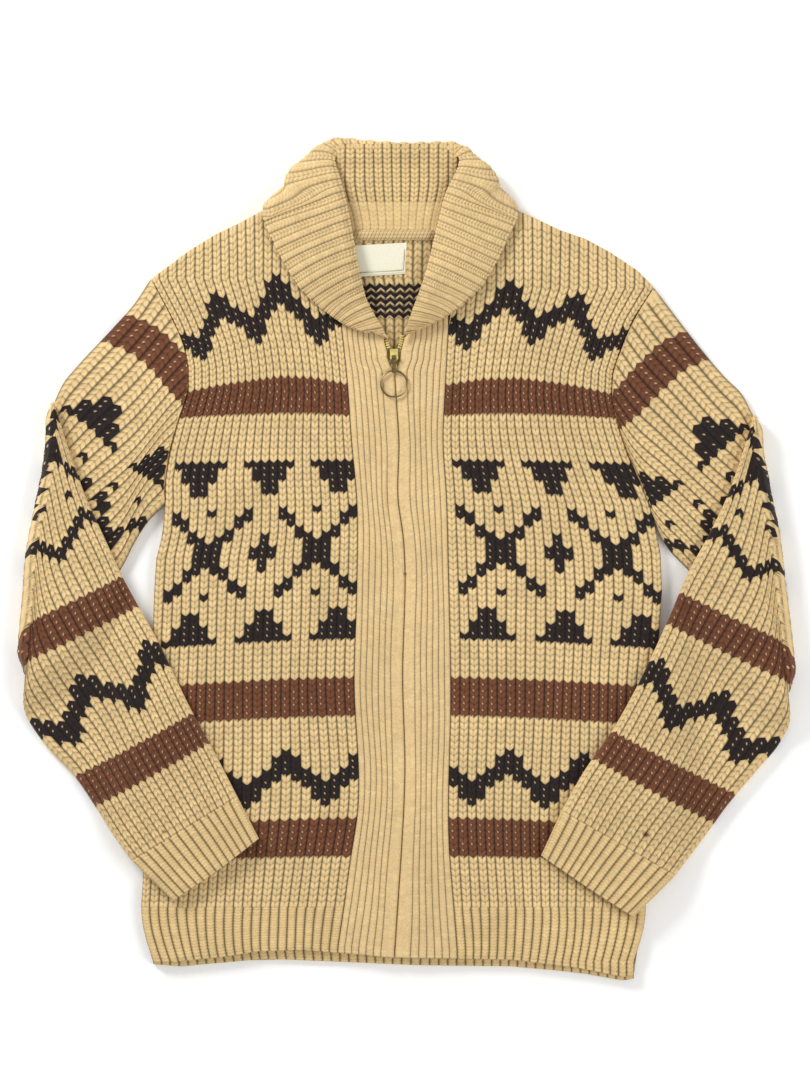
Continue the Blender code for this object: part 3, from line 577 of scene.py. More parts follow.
def multiply(tree, first, second):
    made = node(tree, "ShaderNodeMath", {}, operation="MULTIPLY")
    tree.links.new(first, made.inputs[0])
    tree.links.new(second, made.inputs[1])
    return made.outputs["Value"]


def add_bump(tree, source, shader, strength, distance):
    bump = node(tree, "ShaderNodeBump", {"Strength": strength, "Distance": distance})
    tree.links.new(source, bump.inputs["Height"])
    tree.links.new(bump.outputs["Normal"], shader.inputs["Normal"])


print("materials so far:", len(bpy.data.materials))

# %% [markdown]
# Wool is rough and scatters light. The yarn's colour comes from the piece's own attribute, with painted
# shade in the gaps between stitches, where wool shades itself, and fine noise gives the plies and the stray
# fibres.

# %% The wool
def wool_material(name, gap_dark=0.13, darken_factor=(1.0, 1.0, 1.0)):
    made, tree, shader = new_material(name)
    shader.inputs["Roughness"].default_value = 0.92
    shader.inputs["Specular IOR Level"].default_value = 0.18
    shader.inputs["Sheen Weight"].default_value = 0.16
    shader.inputs["Sheen Roughness"].default_value = 0.6
    shader.inputs["Sheen Tint"].default_value = (1.0, 0.93, 0.8, 1)
    yarn = node(tree, "ShaderNodeAttribute", {}, attribute_name="yarn")
    height = node(tree, "ShaderNodeAttribute", {}, attribute_name="height")
    fibre = noise_node(tree, Scale=700.0, Detail=5.0, Roughness=0.7)
    wear = noise_node(tree, Scale=18.0, Detail=3.0)
    # painted shade: the colour is darker where a stitch is low, in the gaps between stitches
    shade = remap(tree, height.outputs["Fac"], 0.0, FULL_LIGHT, gap_dark, 1.0)
    patch = remap(tree, wear, 0.3, 0.7, 0.93, 1.05)
    mottle = remap(tree, fibre, 0.3, 0.7, 0.8, 1.14)
    # a factor that darkens the yarn's colour: painted shade on the ribbed pieces, and a little darker on
    # the collar and bands
    tint = node(tree, "ShaderNodeVectorMath", {1: darken_factor}, operation="MULTIPLY")
    tree.links.new(yarn.outputs["Color"], tint.inputs[0])
    colour = node(tree, "ShaderNodeVectorMath", {}, operation="SCALE")
    tree.links.new(tint.outputs["Vector"], colour.inputs[0])
    tree.links.new(multiply(tree, multiply(tree, shade, patch), mottle), colour.inputs["Scale"])
    tree.links.new(colour.outputs["Vector"], shader.inputs["Base Color"])
    add_bump(tree, fibre, shader, 0.55, 0.0007)
    return made


wool = wool_material("knitted_wool")
# painted shade: the ribbed pieces are darker all over, standing in for the shade in their deep rib gaps
rib_wool = wool_material("ribbed_wool", darken_factor=(0.95, 0.94, 0.91))
collar_wool = wool_material("collar_wool", gap_dark=0.3, darken_factor=(0.95, 0.95, 0.95))
band_wool = wool_material("band_wool", gap_dark=0.3, darken_factor=(0.93, 0.93, 0.95))
print("wools:", ", ".join(finish.name for finish in (wool, rib_wool, collar_wool, band_wool)))


def dress(piece, nodes, finish):
    """Gives a knitted piece its material, its body and its place in the frame."""
    piece.data.materials.append(finish)
    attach(piece, GARMENT)
    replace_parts(piece, *nodes)


# %% [markdown]
# Two plain stripes cross each front and sleeve and one crosses the chest. Between them stands a dark
# inlaid pattern. The motifs are general ones from knitting: zigzags, crosses, triangles and dots, each
# worked out from its wale and course number.

# %% The motifs
def zigzag(w, c, first, period, thick=1.6):
    """A line of chevrons, half a period high."""
    wave = abs((w + period / 4) % period - period / 2)
    return 0 <= c - first - wave < thick


def bold_zigzag(w, c, first):
    """A thick chevron line with a small lozenge in each of its hollows."""
    lozenge = abs((w + 6) % 8 - 4) + abs(c - first - 6) < 2 or abs((w + 2) % 8 - 4) + abs(c - first) < 2
    return zigzag(w, c, first, 8, 3) or lozenge


def cross(w, c, middle_w, middle_c, arm):
    """A slanted cross with a small square at its middle."""
    dx, dy = abs(w - middle_w), abs(c - middle_c)
    return (abs(dx - dy * 0.62) < 0.75 and dy <= arm) or (dx <= 1 and dy <= 1.5)


def peak(w, c, first, period, tall):
    """A row of solid triangles standing on their base."""
    dx = abs(w % period - period / 2 + 0.5)
    return 0 <= c - first < tall and dx <= (tall - (c - first)) * 0.5


def middle_zone(w, c, first, wales):
    """The large inlaid band: peaks, a row of crosses and dots, and peaks upside down."""
    if peak(w, c, first, 8, 5):
        return True
    if peak(w, 2 * first + 27 - c, first, 8, 5):
        return True
    for middle in (wales * 0.23, wales * 0.77):
        if cross(w, c, round(middle), first + 13.5, 6):
            return True
    if abs(w - round(wales / 2)) + abs(c - first - 13.5) * 0.5 < 1.6:
        return True
    return c in (first + 7, first + 20) and w % 4 == 1


print("one bold chevron:", "".join("#" if bold_zigzag(w, 4, 0) else "." for w in range(16)))

# %% [markdown]
# Each piece has a chart that places the stripes and motifs by course. The cuffs, bands, welts and collar
# are plain.

# %% The charts
FRONT_WALES = 22
FRONT_COURSES = 104
FRONT_STRIPES = [(8, 13), (30, 35), (77, 81)]
FRONT_ZIGZAGS = (17, 88)
FRONT_MIDDLE = 42
SLEEVE_WALES = 16
SLEEVE_STRIPES = [(9, 13), (32, 36), (81, 85)]
BACK_STRIPE = [(86, 90)]


def in_stripe(c, stripes):
    return any(first <= c <= last for first, last in stripes)


def front_chart(w, c):
    if in_stripe(c, FRONT_STRIPES):
        return BROWN
    if any(bold_zigzag(w, c, first) for first in FRONT_ZIGZAGS):
        return BLACK
    return BLACK if middle_zone(w, c, FRONT_MIDDLE, FRONT_WALES) else TAN


def sleeve_chart(w, c):
    w = w % SLEEVE_WALES
    if in_stripe(c, SLEEVE_STRIPES):
        return BROWN
    if bold_zigzag(w, c, 19):
        return BLACK
    if zigzag(w, c, 43, 8, 2) or peak(w, c, 69, 8, 5) or cross(w, c, 4, 58, 5) or cross(w, c, 12, 58, 5):
        return BLACK
    return BLACK if c in (51, 65) and w % 4 == 1 else TAN


def back_chart(w, c):
    return BLACK if in_stripe(c, BACK_STRIPE) else TAN


def plain_chart(w, c):
    return TAN


dark = [front_chart(w, c) == BLACK for c in range(FRONT_COURSES) for w in range(FRONT_WALES)]
print("a front has", sum(dark), "dark stitches of", len(dark))

# %% [markdown]
# The cloth isn't quite flat. A few long soft troughs cross it, deeper below the arms and above the welt,
# as hands leave them when they smooth a jumper out.

# %% Soft creases
CREASES = [
    # (x from, y from, x to, y to, half width, depth)
    (-215, 40, -120, -10, 14, 1.1),
    (-226, -60, -150, -95, 16, 0.9),
    (-205, -180, -110, -160, 15, 0.8),
    (-180, -300, -70, -285, 13, 0.9),
    (-170, 120, -90, 95, 17, 0.7),
    (205, 45, 110, -5, 15, 1.0),
    (222, -80, 140, -110, 14, 0.9),
    (190, -200, 90, -185, 17, 0.7),
    (60, -295, 180, -305, 12, 0.9),
    (160, 120, 80, 100, 16, 0.7),
    (-338, 40, -270, -30, 12, 1.2),
    (-345, -60, -280, -95, 12, 0.9),
    (-300, -150, -225, -135, 13, 1.0),
    (335, 30, 275, -35, 12, 1.2),
    (348, -70, 285, -100, 13, 0.9),
    (290, -180, 215, -150, 12, 1.0),
    (-290, 160, -230, 100, 13, 0.9),
    (285, 150, 225, 95, 12, 0.9),
    (-70, 330, -110, 300, 10, 0.6),
]


def crease_depth(x, y):
    depth = np.zeros_like(x)
    for x0, y0, x1, y1, half, deep in CREASES:
        side = np.array([x1 - x0, y1 - y0], float)
        share = ((x - x0) * side[0] + (y - y0) * side[1]) / (side @ side)
        near = np.clip(share, 0, 1)
        away = np.hypot(x - x0 - side[0] * near, y - y0 - side[1] * near)
        depth += deep * np.exp(-((away / half) ** 2)) * np.sin(np.pi * np.clip(near * 0.9 + 0.05, 0, 1))
    return depth


print("soft creases:", len(CREASES))

# %% [markdown]
# Each front is a panel whose wales run from the welt to the shoulder. Its courses are level near the
# hem and bend with the shoulder higher up, because the knitter takes in stitches at the armhole and neck.

# %% The two fronts
LEVEL_COURSES = 75
COURSE = 5.88
EDGE_ROUND = 2.6


def build_front(name, side, armhole, shoulder, neck, courses_line, band, sign, seed):
    outline = side[:-1] + armhole
    real_top = shoulder + neck[1:]

    def outer(y):
        return x_at(outline, y)

    def inner(y):
        return x_at([(x - sign * HAIR, y) for x, y in band], y)

    def plan(u, v):
        share = u / FRONT_WALES
        from_side = share if sign > 0 else 1 - share
        x_top = outer(1e3) + (inner(1e3) - outer(1e3)) * from_side
        level = HEM_TOP - 0.1 + v * COURSE
        start = HEM_TOP + LEVEL_COURSES * COURSE
        bent_courses = FRONT_COURSES - LEVEL_COURSES
        bent = start + (y_at(courses_line, x_top) - start) * (v - LEVEL_COURSES) / bent_courses
        y = np.where(v > LEVEL_COURSES, bent, level)
        sag = 9 * (1 - from_side) ** 1.5 * smooth((y + 321) / 90) * (1 - smooth((y - 30) / 100))
        y = y - sag
        top = y_at(real_top, x_top)
        last = v >= FRONT_COURSES - 0.01
        y = np.where(last | (y > top), top + np.maximum(y - top, 0) * 0.002, y)
        return outer(y) + (inner(y) - outer(y)) * from_side, y, from_side

    def place(u, v):
        x, y, from_side = plan(u, v)
        z = front_base(x, y) + FRONT_THICK - crease_depth(x, y)
        z -= EDGE_ROUND * np.clip(1 - from_side * FRONT_WALES, 0, 1) ** 2
        return np.stack([x, y, z], -1)

    x, y, _ = plan(*coarse_grid(FRONT_WALES, FRONT_COURSES, 12, 27))
    under = np.stack([x, y, front_base(x, y)], -1)
    piece, cut = knit(name, place, FRONT_WALES, FRONT_COURSES, front_chart, seed, relief=1.5, inner=under)
    dress(piece, [name], wool)


build_front("front_right", SIDE_R, ARMHOLE_R, SHOULDER_R, NECK_R, COURSES_R, BAND_EDGE_R, sign=1, seed=11)
build_front("front_left", SIDE_L, ARMHOLE_L, SHOULDER_L, NECK_L, COURSES_L, BAND_EDGE_L, sign=-1, seed=12)

# %% [markdown]
# The back lies under the fronts. Only its inside shows, in the neck, where the purl side of the knitting
# and the floats of the dark yarn can be seen.

# %% The back
BACK_WALES = 52
BACK_COURSES = 98


def back_plan(u, v):
    share = u / BACK_WALES
    outline_r = SIDE_R[:-1] + ARMHOLE_R
    outline_l = SIDE_L[:-1] + ARMHOLE_L
    x_top = x_at(outline_r, 1e3) + (x_at(outline_l, 1e3) - x_at(outline_r, 1e3)) * share
    top = y_at(SHOULDER_R + BACK_NECK[1:-1] + SHOULDER_L[::-1], x_top)
    y = HEM_TOP + (top - HEM_TOP) * v / BACK_COURSES
    return x_at(outline_r, y) + (x_at(outline_l, y) - x_at(outline_r, y)) * share, y


def back_place(u, v):
    x, y = back_plan(u, v)
    return np.stack([x, y, lift(x, y) + BACK_THICK - 0.55], -1)


back_x, back_y = back_plan(*coarse_grid(BACK_WALES, BACK_COURSES, 40, 27))
back_under = np.stack([back_x, back_y, lift(back_x, back_y)], -1)
back, back_cut = knit("back", back_place, BACK_WALES, BACK_COURSES, back_chart, 13, relief=0.8,
                      inner=back_under, dip=-0.55, detail=COARSE, floats=True)
dress(back, ["back"], rib_wool)

# %% [markdown]
# The welt at the hem carries the fronts' wales on in plain tan, pulled in at its corners. The back's welt
# shows as a sliver below the fronts'.

# %% The hem's ribbed welt
WELT_COURSES = 17
BACK_WELT_WALES = 54


def corner_x(y, low, high):
    return low + (high - low) * np.sin(np.clip((y + 371) / 50, 0, 1) * np.pi / 2)


def welt_side_r(y):
    return corner_x(y, -234.0, -245.0)


def welt_side_l(y):
    return corner_x(y, 209.0, 220.0)


def welt_band_r(y):
    return x_at(BAND_EDGE_R, y) - HAIR


def welt_band_l(y):
    return x_at(BAND_EDGE_L, y) + HAIR


def build_welt(name, wales, left, right, hem_line, base, thick, relief, seed, rounded=0):
    """A welt between two side lines. rounded says which side is eased: 1 left, -1 right, 0 neither."""
    def plan(u, v):
        share = u / wales
        x_low = left(-1e3) + (right(-1e3) - left(-1e3)) * share
        low = y_at(hem_line, x_low)
        y = low + (HEM_TOP - 0.1 - low) * v / WELT_COURSES
        return left(y) + (right(y) - left(y)) * share, y, share

    def place(u, v):
        x, y, share = plan(u, v)
        away = share if rounded > 0 else 1 - share
        eased = EDGE_ROUND * abs(rounded) * np.clip(1 - away * wales, 0, 1) ** 2
        z = base + thick - eased - crease_depth(x, y)
        z -= 0.9 * np.clip(1 - v / 1.5, 0, 1) ** 2
        return np.stack([x, y, z], -1)

    x, y, _ = plan(*coarse_grid(wales, WELT_COURSES, 12, 4))
    under = np.stack([x, y, np.full_like(x, base)], -1)
    piece, cut = knit(name, place, wales, WELT_COURSES, plain_chart, seed, relief=relief, inner=under,
                      detail=RIB)
    dress(piece, [name], rib_wool)


build_welt("hem_rib_front_right", FRONT_WALES, welt_side_r, welt_band_r, HEM_FRONT, FRONT_BASE, FRONT_THICK,
           relief=1.6, seed=14, rounded=1)
build_welt("hem_rib_front_left", FRONT_WALES, welt_band_l, welt_side_l, HEM_FRONT, FRONT_BASE, FRONT_THICK,
           relief=1.6, seed=15, rounded=-1)
build_welt("hem_rib_back", BACK_WELT_WALES, welt_side_r, welt_side_l, HEM_BACK, 0.0, BACK_THICK - 0.6,
           relief=0.7, seed=16)

# %% [markdown]
# The front bands are knitted in a fine rib, eight ribs each, and rise over the zip, where they meet.
# At the top they part in a narrow V above the slider.

# %% The two front bands
BAND_RIBS = 8
BAND_COURSES = 180


def band_gap(y):
    """Half the gap between the bands: closed over the zip, and parted above its slider."""
    return 0.15 + 5.8 * smooth((y - 170) / 16) + 3.5 * smooth((y - 187) / 18)


def build_band(name, edge, sign, seed):
    """A band from the front's edge to the zip. sign is 1 for the wearer's right, which has a dimple."""
    def plan(u, v):
        share = u / BAND_RIBS
        from_edge = share if sign > 0 else 1 - share
        low = y_at(HEM_FRONT, x_at(edge, -1e3) + (x_at(CENTRE, -1e3) - x_at(edge, -1e3)) * from_edge)
        y = low + (BAND_TOP + 20 * (1 - from_edge) - low) * v / BAND_COURSES
        meet = x_at(CENTRE, y) - sign * band_gap(y)
        return x_at(edge, y) + (meet - x_at(edge, y)) * from_edge, y, from_edge

    def heights(x, y, from_edge):
        rise = smooth((from_edge - 0.35) / 0.45)
        base = FRONT_BASE + (BAND_BASE_AT_ZIP - FRONT_BASE) * rise
        top = FRONT_BASE + FRONT_THICK + 0.2 + (BAND_TOP_AT_ZIP - FRONT_BASE - FRONT_THICK - 0.2) * rise
        roll = 2.2 * np.clip(1 - (1 - from_edge) * BAND_RIBS / 0.4, 0, 1) ** 2
        dimple = 2.4 * np.exp(-(((x + 17) / 3.2) ** 2 + ((y - 52) / 24) ** 4)) if sign > 0 else 0.0
        return base, top - roll - dimple - 0.5 * np.clip(1 - from_edge * 9, 0, 1) ** 2

    def place(u, v):
        x, y, from_edge = plan(u, v)
        return np.stack([x, y, heights(x, y, from_edge)[1]], -1)

    def strength(u, v):
        """Lower stitches on the smooth rib beside the zip."""
        from_edge = u / BAND_RIBS if sign > 0 else 1 - u / BAND_RIBS
        return 1 - 0.75 * smooth((from_edge - 0.78) / 0.06) * (1 - smooth((from_edge - 0.97) / 0.025))

    x, y, from_edge = plan(*coarse_grid(BAND_RIBS, BAND_COURSES, 8, 40))
    under = np.stack([x, y, heights(x, y, from_edge)[0]], -1)
    piece, cut = knit(name, place, BAND_RIBS, BAND_COURSES, plain_chart, seed, relief=1.2, inner=under,
                      dip=0.35, detail=SMOOTH_RIB, strength=strength)
    dress(piece, [name], band_wool)


build_band("front_band_right", BAND_EDGE_R, sign=1, seed=17)
build_band("front_band_left", BAND_EDGE_L, sign=-1, seed=18)

# %% [markdown]
# Sleeves and cuffs are tubes that lie flat: two layers, joined by round edges, with a hollow between them.

# %% A flattened tube
RING_END = 0.7
RING_POINTS = 6


def layer_share(u, wales):
    """Whether a place is on the tube's first layer, and its share of the way across that layer."""
    first = u <= wales
    return first, np.where(first, u / wales, 2 - u / wales)


def tube_height(first, b, mid, full=1.0):
    """The height in the flattened tube: on its round outline, or mid above its middle."""
    if mid is not None:
        return TUBE / 2 + mid
    half = TUBE / 2 * np.maximum(1 - abs(2 * b - 1) ** 5, 0) ** 0.2 * full
    return np.where(first, TUBE / 2 - half, TUBE / 2 + half)


def hollow_of(place, wales, courses, rows, half):
    """The tube's inner side, half above and below its middle."""
    ring = np.linspace(RING_END, wales - RING_END, RING_POINTS)
    grid_u, grid_v = np.meshgrid(np.concatenate([ring, wales + ring]), np.linspace(0, courses, rows))
    side = np.where(grid_u < wales, -half, half)
    return place(grid_u, grid_v, mid=side)


print("a flattened tube is", TUBE, "mm high")

# %% [markdown]
# A sleeve is one flattened tube. It runs out from the armhole, turns over at the elbow round a slanted
# crease, so that its under side comes up, and goes on to the cuff. Its courses stay square to the arm.

# %% The two sleeves
SLEEVE_COURSES = 92
SLEEVE_COURSE = 5.9
FOLD_REACH = 15.0


def coons(start, finish, edge_0, edge_1, s, u):
    """Points of the surface spanned by four curves: start and finish lines, and the two sides."""
    s, u = np.clip(s, 0, 1), np.clip(u, 0, 1)
    a, b = s[..., None], u[..., None]
    ruled = (1 - a) * start(u) + a * finish(u)
    sides = (1 - b) * edge_0(s) + b * edge_1(s)
    p00, p01 = start(np.array(0.0)), start(np.array(1.0))
    p10, p11 = finish(np.array(0.0)), finish(np.array(1.0))
    corners = (1 - a) * ((1 - b) * p00 + b * p01) + a * ((1 - b) * p10 + b * p11)
    return ruled + sides - corners


def build_sleeve(name, mirror, armhole, outer, crease, underarm, ridge, forearm, seed):
    away = np.array([-mirror, 0.12])
    away = away / np.hypot(*away)
    inset = [0.2 * TUBE] + [TUBE] * (len(crease) - 2) + [0.75 * TUBE]
    core_points = [tuple(np.array(p) - away * (d + CORE)) for p, d in zip(crease, inset)]
    head_points = [(x - mirror * SEAM, y) for x, y in armhole[::-1]]
    head, core = curve(head_points), curve(core_points)
    outer_edge = curve([head_points[0]] + outer[1:-1] + [core_points[0]])
    under_edge = curve([head_points[-1]] + underarm[1:-1] + [core_points[-1]])
    ridge_edge = curve([core_points[0]] + ridge[1:])
    fore_edge = curve([core_points[-1]] + forearm[1:])
    seam = curve([ridge[-1], forearm[-1]])

    def split(b):
        """The arm's length from the cuff's seam to the crease, and from there to the armhole."""
        shares = np.linspace(0, 1, 40)
        seam_to_fold = np.linalg.norm(core(shares) - seam(shares), axis=1)
        fold_to_head = np.linalg.norm(head(shares) - core(shares), axis=1)
        return np.interp(b, shares, seam_to_fold), np.interp(b, shares, fold_to_head)

    def locate(u, v):
        """The layer, the share across, the lengths on both sides of the fold, and how far past the fold."""
        first, b = layer_share(u, SLEEVE_WALES)
        lower, upper = split(b)
        past_fold = v * SLEEVE_COURSE - lower
        past_fold = np.where(v >= SLEEVE_COURSES - 0.01, 1e4, past_fold)
        return first, b, lower, upper, past_fold

    def place(u, v, mid=None):
        first, b, lower, upper, past_fold = locate(u, v)
        w = tube_height(first, b, mid)
        s_up = 1 - np.clip((past_fold - FOLD_REACH) / (upper - FOLD_REACH), 0, 1)
        s_low = np.clip((-past_fold - FOLD_REACH) / (lower - FOLD_REACH), 0, 1)
        turn = np.pi / 2 * (1 - np.clip(past_fold / FOLD_REACH, -1, 1))
        up_xy = coons(head, core, outer_edge, under_edge, s_up, b)
        low_xy = coons(core, seam, ridge_edge, fore_edge, s_low, b)
        taper = 0.35 + 0.65 * smooth(np.minimum(b, 1 - b) / 0.08)
        fold_xy = core(b) + away * ((CORE + w) * np.sin(turn) * taper)[..., None]
        on_upper = (past_fold > FOLD_REACH)[..., None]
        on_lower = (past_fold < -FOLD_REACH)[..., None]
        xy = np.where(on_upper, up_xy, np.where(on_lower, low_xy, fold_xy))
        z_fold = TUBE + CORE - (CORE + w) * np.cos(turn)
        z_low = rest_height(xy[..., 0], xy[..., 1]) + w
        z = np.where(on_lower[..., 0], z_low, z_fold)
        shows = np.where(first, past_fold > FOLD_REACH, past_fold < FOLD_REACH)
        z -= np.where(shows & (mid is None), crease_depth(xy[..., 0], xy[..., 1]), 0.0)
        return np.concatenate([xy, z[..., None]], -1)

    def strength(u, v):
        """Full stitches where the sleeve shows, and plain cloth where it is covered."""
        first, b, _, upper, past_fold = locate(u, v)
        s_up = 1 - np.clip((past_fold - FOLD_REACH) / (upper - FOLD_REACH), 0, 1)
        covered = 0.72 + 0.5 * (1 - smooth(b / 0.36))
        top_of_upper = np.where(past_fold > FOLD_REACH, 1 - smooth((s_up - covered) / 0.2), 0.0)
        second_layer = np.where(past_fold > FOLD_REACH, 0.25, 1.0)
        fade = np.where(past_fold >= upper - 0.5, 0.5, 1.0)
        return np.where(first, top_of_upper, second_layer) * fade

    def turned(u, v, shape):
        """In the fold the wales run beside the crease."""
        past_fold = locate(u, v)[4]
        beside = abs(np.sin(np.pi * (past_fold / 7.5 + 0.5)))
        stitches = 0.72 + 0.28 * abs(np.sin(np.pi * (u * 1.32 + past_fold / 15)))
        return np.where(abs(past_fold) < FOLD_REACH - 1, beside**0.6 * stitches, shape)

    hollow = hollow_of(place, SLEEVE_WALES, SLEEVE_COURSES, 47, 0.5)
    piece, cut = knit(name, place, 2 * SLEEVE_WALES, SLEEVE_COURSES, sleeve_chart, seed, relief=1.5,
                      inner=hollow, dip=-0.55, closed=True, flip=-mirror, strength=strength, turned=turned)
    dress(piece, [name], wool)


build_sleeve("sleeve_right", 1, ARMHOLE_R, OUTER_R, CREASE_R, UNDERARM_R, RIDGE_R, FOREARM_R, seed=19)
build_sleeve("sleeve_left", -1, ARMHOLE_L, OUTER_L, CREASE_L, UNDERARM_L, RIDGE_L, FOREARM_L, seed=20)

# %% [markdown]
# The cuffs are the same tube in a finer rib, open at the end, where the two layers lie a little apart.

# %% The two cuffs
CUFF_WALES = 14
CUFF_COURSES = 16


def build_cuff(name, ridge, forearm, cuff_end, mirror, seed):
    seam_a, seam_b = np.array(ridge[-1], float), np.array(forearm[-1], float)
    end = curve(cuff_end)
    down = end(np.array(0.5)) - (seam_a + seam_b) / 2
    down = down / np.hypot(*down) * HAIR

    def place(u, v, mid=None):
        first, b = layer_share(u, CUFF_WALES)
        s = (v / CUFF_COURSES)[..., None]
        start = seam_a + (seam_b - seam_a) * b[..., None] + down
        xy = start + (end(b) - start) * s
        w = tube_height(first, b, mid, full=1 - 0.1 * (v / CUFF_COURSES) ** 8)
        z = rest_height(xy[..., 0], xy[..., 1]) + w
        return np.concatenate([xy, z[..., None]], -1)

    def strength(u, v):
        return np.where(u <= CUFF_WALES, 0.0, 1.0)

    hollow = hollow_of(place, CUFF_WALES, CUFF_COURSES, 5, 0.7)
    piece, cut = knit(name, place, 2 * CUFF_WALES, CUFF_COURSES, plain_chart, seed, relief=1.5,
                      inner=hollow, closed=True, flip=mirror, detail=RIB, strength=strength)
    dress(piece, [name], rib_wool)


build_cuff("cuff_right", RIDGE_R, FOREARM_R, CUFF_END_R, mirror=1, seed=21)
build_cuff("cuff_left", RIDGE_L, FOREARM_L, CUFF_END_L, mirror=-1, seed=22)

# %% [markdown]
# The shawl collar is one long strip. It rolls over along its inner edge, lies on the fronts, goes round
# both shoulders and lies flat under the back of the neck. The table gives it row by row, along the strip.

# %% The collar's rows
COLLAR_THICK = 5.0
COLLAR_LOWEST = 13.6
FOLD_TOP = 21.6
ROLL_CURL = 3.4
COLLAR_WALES = 78
COLLAR_COURSES = 22
COLLAR_ROWS = [
    # Roll x, roll y, edge x, edge y, and how far the edge turns under, from 0 to 1. A row that is folded
    # under goes on with the tucked end's x and y and the height of the fold's top.
    (-17.0, 200, -25, 207, 0),
    (-23, 213, -43, 208, 0),
    (-31, 225, -62, 217, 0),
    (-38, 239, -85, 234, 0),
    (-42, 255, -101, 251, 0),
    (-46, 275, -116, 276, 0),
    (-50, 298, -127, 298, 0),
    (-53, 315, -134, 316, 0.03),
    (-55, 323, -131.5, 325, 0.2),
    (-57, 332, -126, 333, 0.55),
    (-59, 339, -119, 341.5, 1, -118, 331, 21.6),
    (-62, 350, -108, 354.5, 1, -107, 332, 20.8),
    (-66, 361, -93, 371, 1, -92, 326, 17.5),
    (-67, 370, -80, 383, 1, -78, 312, 12.5),
    (-60, 372, -64, 388, 1, -62, 305, 9.6),
    (-44, 371, -45, 386, 1, -45, 303, 9.2),
    (-4, 370, -4, 383, 1, -4, 302, 9.2),
    (28, 370, 29, 384, 1, 28, 303, 9.2),
    (42, 371, 46, 384, 1, 43, 305, 9.6),
    (49, 369, 60, 376, 1, 57, 312, 12.5),
    (47, 357, 72, 363.5, 1, 70, 324, 17.5),
    (42, 348, 82, 352, 1, 81, 331, 20.8),
    (37, 338, 91, 340.5, 1, 90, 330, 21.6),
    (34, 331, 97, 332, 0.55),
    (32, 322, 101, 323, 0.25),
    (30, 314, 103, 313, 0.06),
    (26, 298, 94, 298, 0),
    (22, 280, 87, 281, 0),
    (17, 261, 77, 262, 0),
    (11, 244, 64, 244, 0),
    (5, 228, 43, 226, 0),
    (1, 216, 20, 214, 0),
    (-4, 202, 0, 206, 0),
]
print("collar rows:", len(COLLAR_ROWS))

# %% [markdown]
# Each row gives a cross-section: level from the roll out to the edge, round the edge, and back under it
# where the fall is tucked. Blending the rows' values before the sections are built keeps the turn round.

# %% The fall's middle surface
STRIP_POINTS = 400
SECTION_POINTS = 40
SOFTEN = 8


def collar_height(x, y):
    on_front = front_base(x, y) + FRONT_THICK + 0.9
    return np.maximum(on_front, COLLAR_LOWEST) + SEAM + 0.8 + COLLAR_THICK / 2


def collar_values():
    """Each row's roll, edge, the way that it is tucked back and how far, its height, its turn, and 1 if it
    isn't folded under."""
    made = []
    for row in COLLAR_ROWS:
        roll, edge = np.array(row[0:2], float), np.array(row[2:4], float)
        turn, *fold = row[4:]
        out = (edge - roll) / np.hypot(*(edge - roll))
        if not fold:
            made.append([*roll, *edge, *-out, 0.0, FOLD_TOP, turn, 1.0])
            continue
        under, top_z = np.array(fold[0:2], float), fold[2]
        tuck = under - (edge - out * (top_z / 2 + COLLAR_THICK / 4))
        length = np.hypot(*tuck)
        made.append([*roll, *edge, *(tuck / length), length, top_z, turn, 0.0])
    return np.array(made)


def collar_section(values):
    """The middle line of the fall at one place: from the roll out to the edge, and under where it folds."""
    roll, edge, back = values[0:2], values[2:4], values[4:6] / np.hypot(*values[4:6])
    tuck, top_z, turn, flat = values[6:]
    half = COLLAR_THICK / 2
    width = np.hypot(*(edge - roll))
    out = (edge - roll) / width
    radius = (flat * collar_height(*edge) + (1 - flat) * top_z - half) / 2
    turn_at = edge - out * (radius * math.sin(math.pi * min(turn, 0.5)) + half * min(1, 2 * turn))
    curl = ROLL_CURL * (flat * min(1, width / 45) + (1 - flat) * np.clip((top_z - 12) / 8, 0, 1))
    t = np.linspace(0, 1, 30)
    over = roll + (turn_at - roll) * t[:, None]
    level = flat * collar_height(over[:, 0], over[:, 1]) + (1 - flat) * top_z
    level = level - curl * (1 - smooth(t * width / 11))
    a = np.linspace(0, math.pi * turn, 14)[1:]
    k = smooth(a / math.pi)[:, None]
    side = out * (1 - k) - back * k
    side = side / np.hypot(side[:, 0], side[:, 1])[:, None]
    round_the_edge = turn_at + side * (radius * np.sin(a))[:, None]
    falling = level[-1] - radius * (1 - np.cos(a))
    run = np.linspace(0, tuck, 13)[1:]
    under = round_the_edge[-1] + side[-1] * (math.cos(a[-1]) * run)[:, None]
    lower = falling[-1] - math.sin(a[-1]) * run
    path = np.column_stack([
        np.concatenate([over, round_the_edge, under]),
        np.maximum(np.concatenate([level, falling, lower]), half),
    ])
    at = np.concatenate([[0], np.cumsum(np.linalg.norm(path[1:] - path[:-1], axis=1))])
    want = np.linspace(0, at[-1], SECTION_POINTS)
    return np.stack([np.interp(want, at, path[:, k]) for k in range(3)], 1)


def collar_grid():
    """The fall's middle surface: the rows' values are blended along the strip, and give each section."""
    values = collar_values()
    middle = (values[:, 0:2] + values[:, 2:4]) / 2
    at = np.concatenate([[0], np.cumsum(np.hypot(*(middle[1:] - middle[:-1]).T))])
    want = np.linspace(0, at[-1], STRIP_POINTS)
    blended = np.column_stack([np.interp(want, at, column) for column in values.T])
    grid = np.array([collar_section(row) for row in blended])
    weights = np.hanning(2 * SOFTEN + 1)
    padded = np.concatenate([np.repeat(grid[:1], SOFTEN, 0), grid, np.repeat(grid[-1:], SOFTEN, 0)])
    soft = sum(w * padded[k : k + STRIP_POINTS] for k, w in enumerate(weights)) / weights.sum()
    soft[0], soft[-1] = grid[0], grid[-1]
    return soft


collar_middle = collar_grid()
collar_normal = surface_normals(collar_middle)
if collar_normal[30, 10, 2] < 0:
    collar_normal = -collar_normal


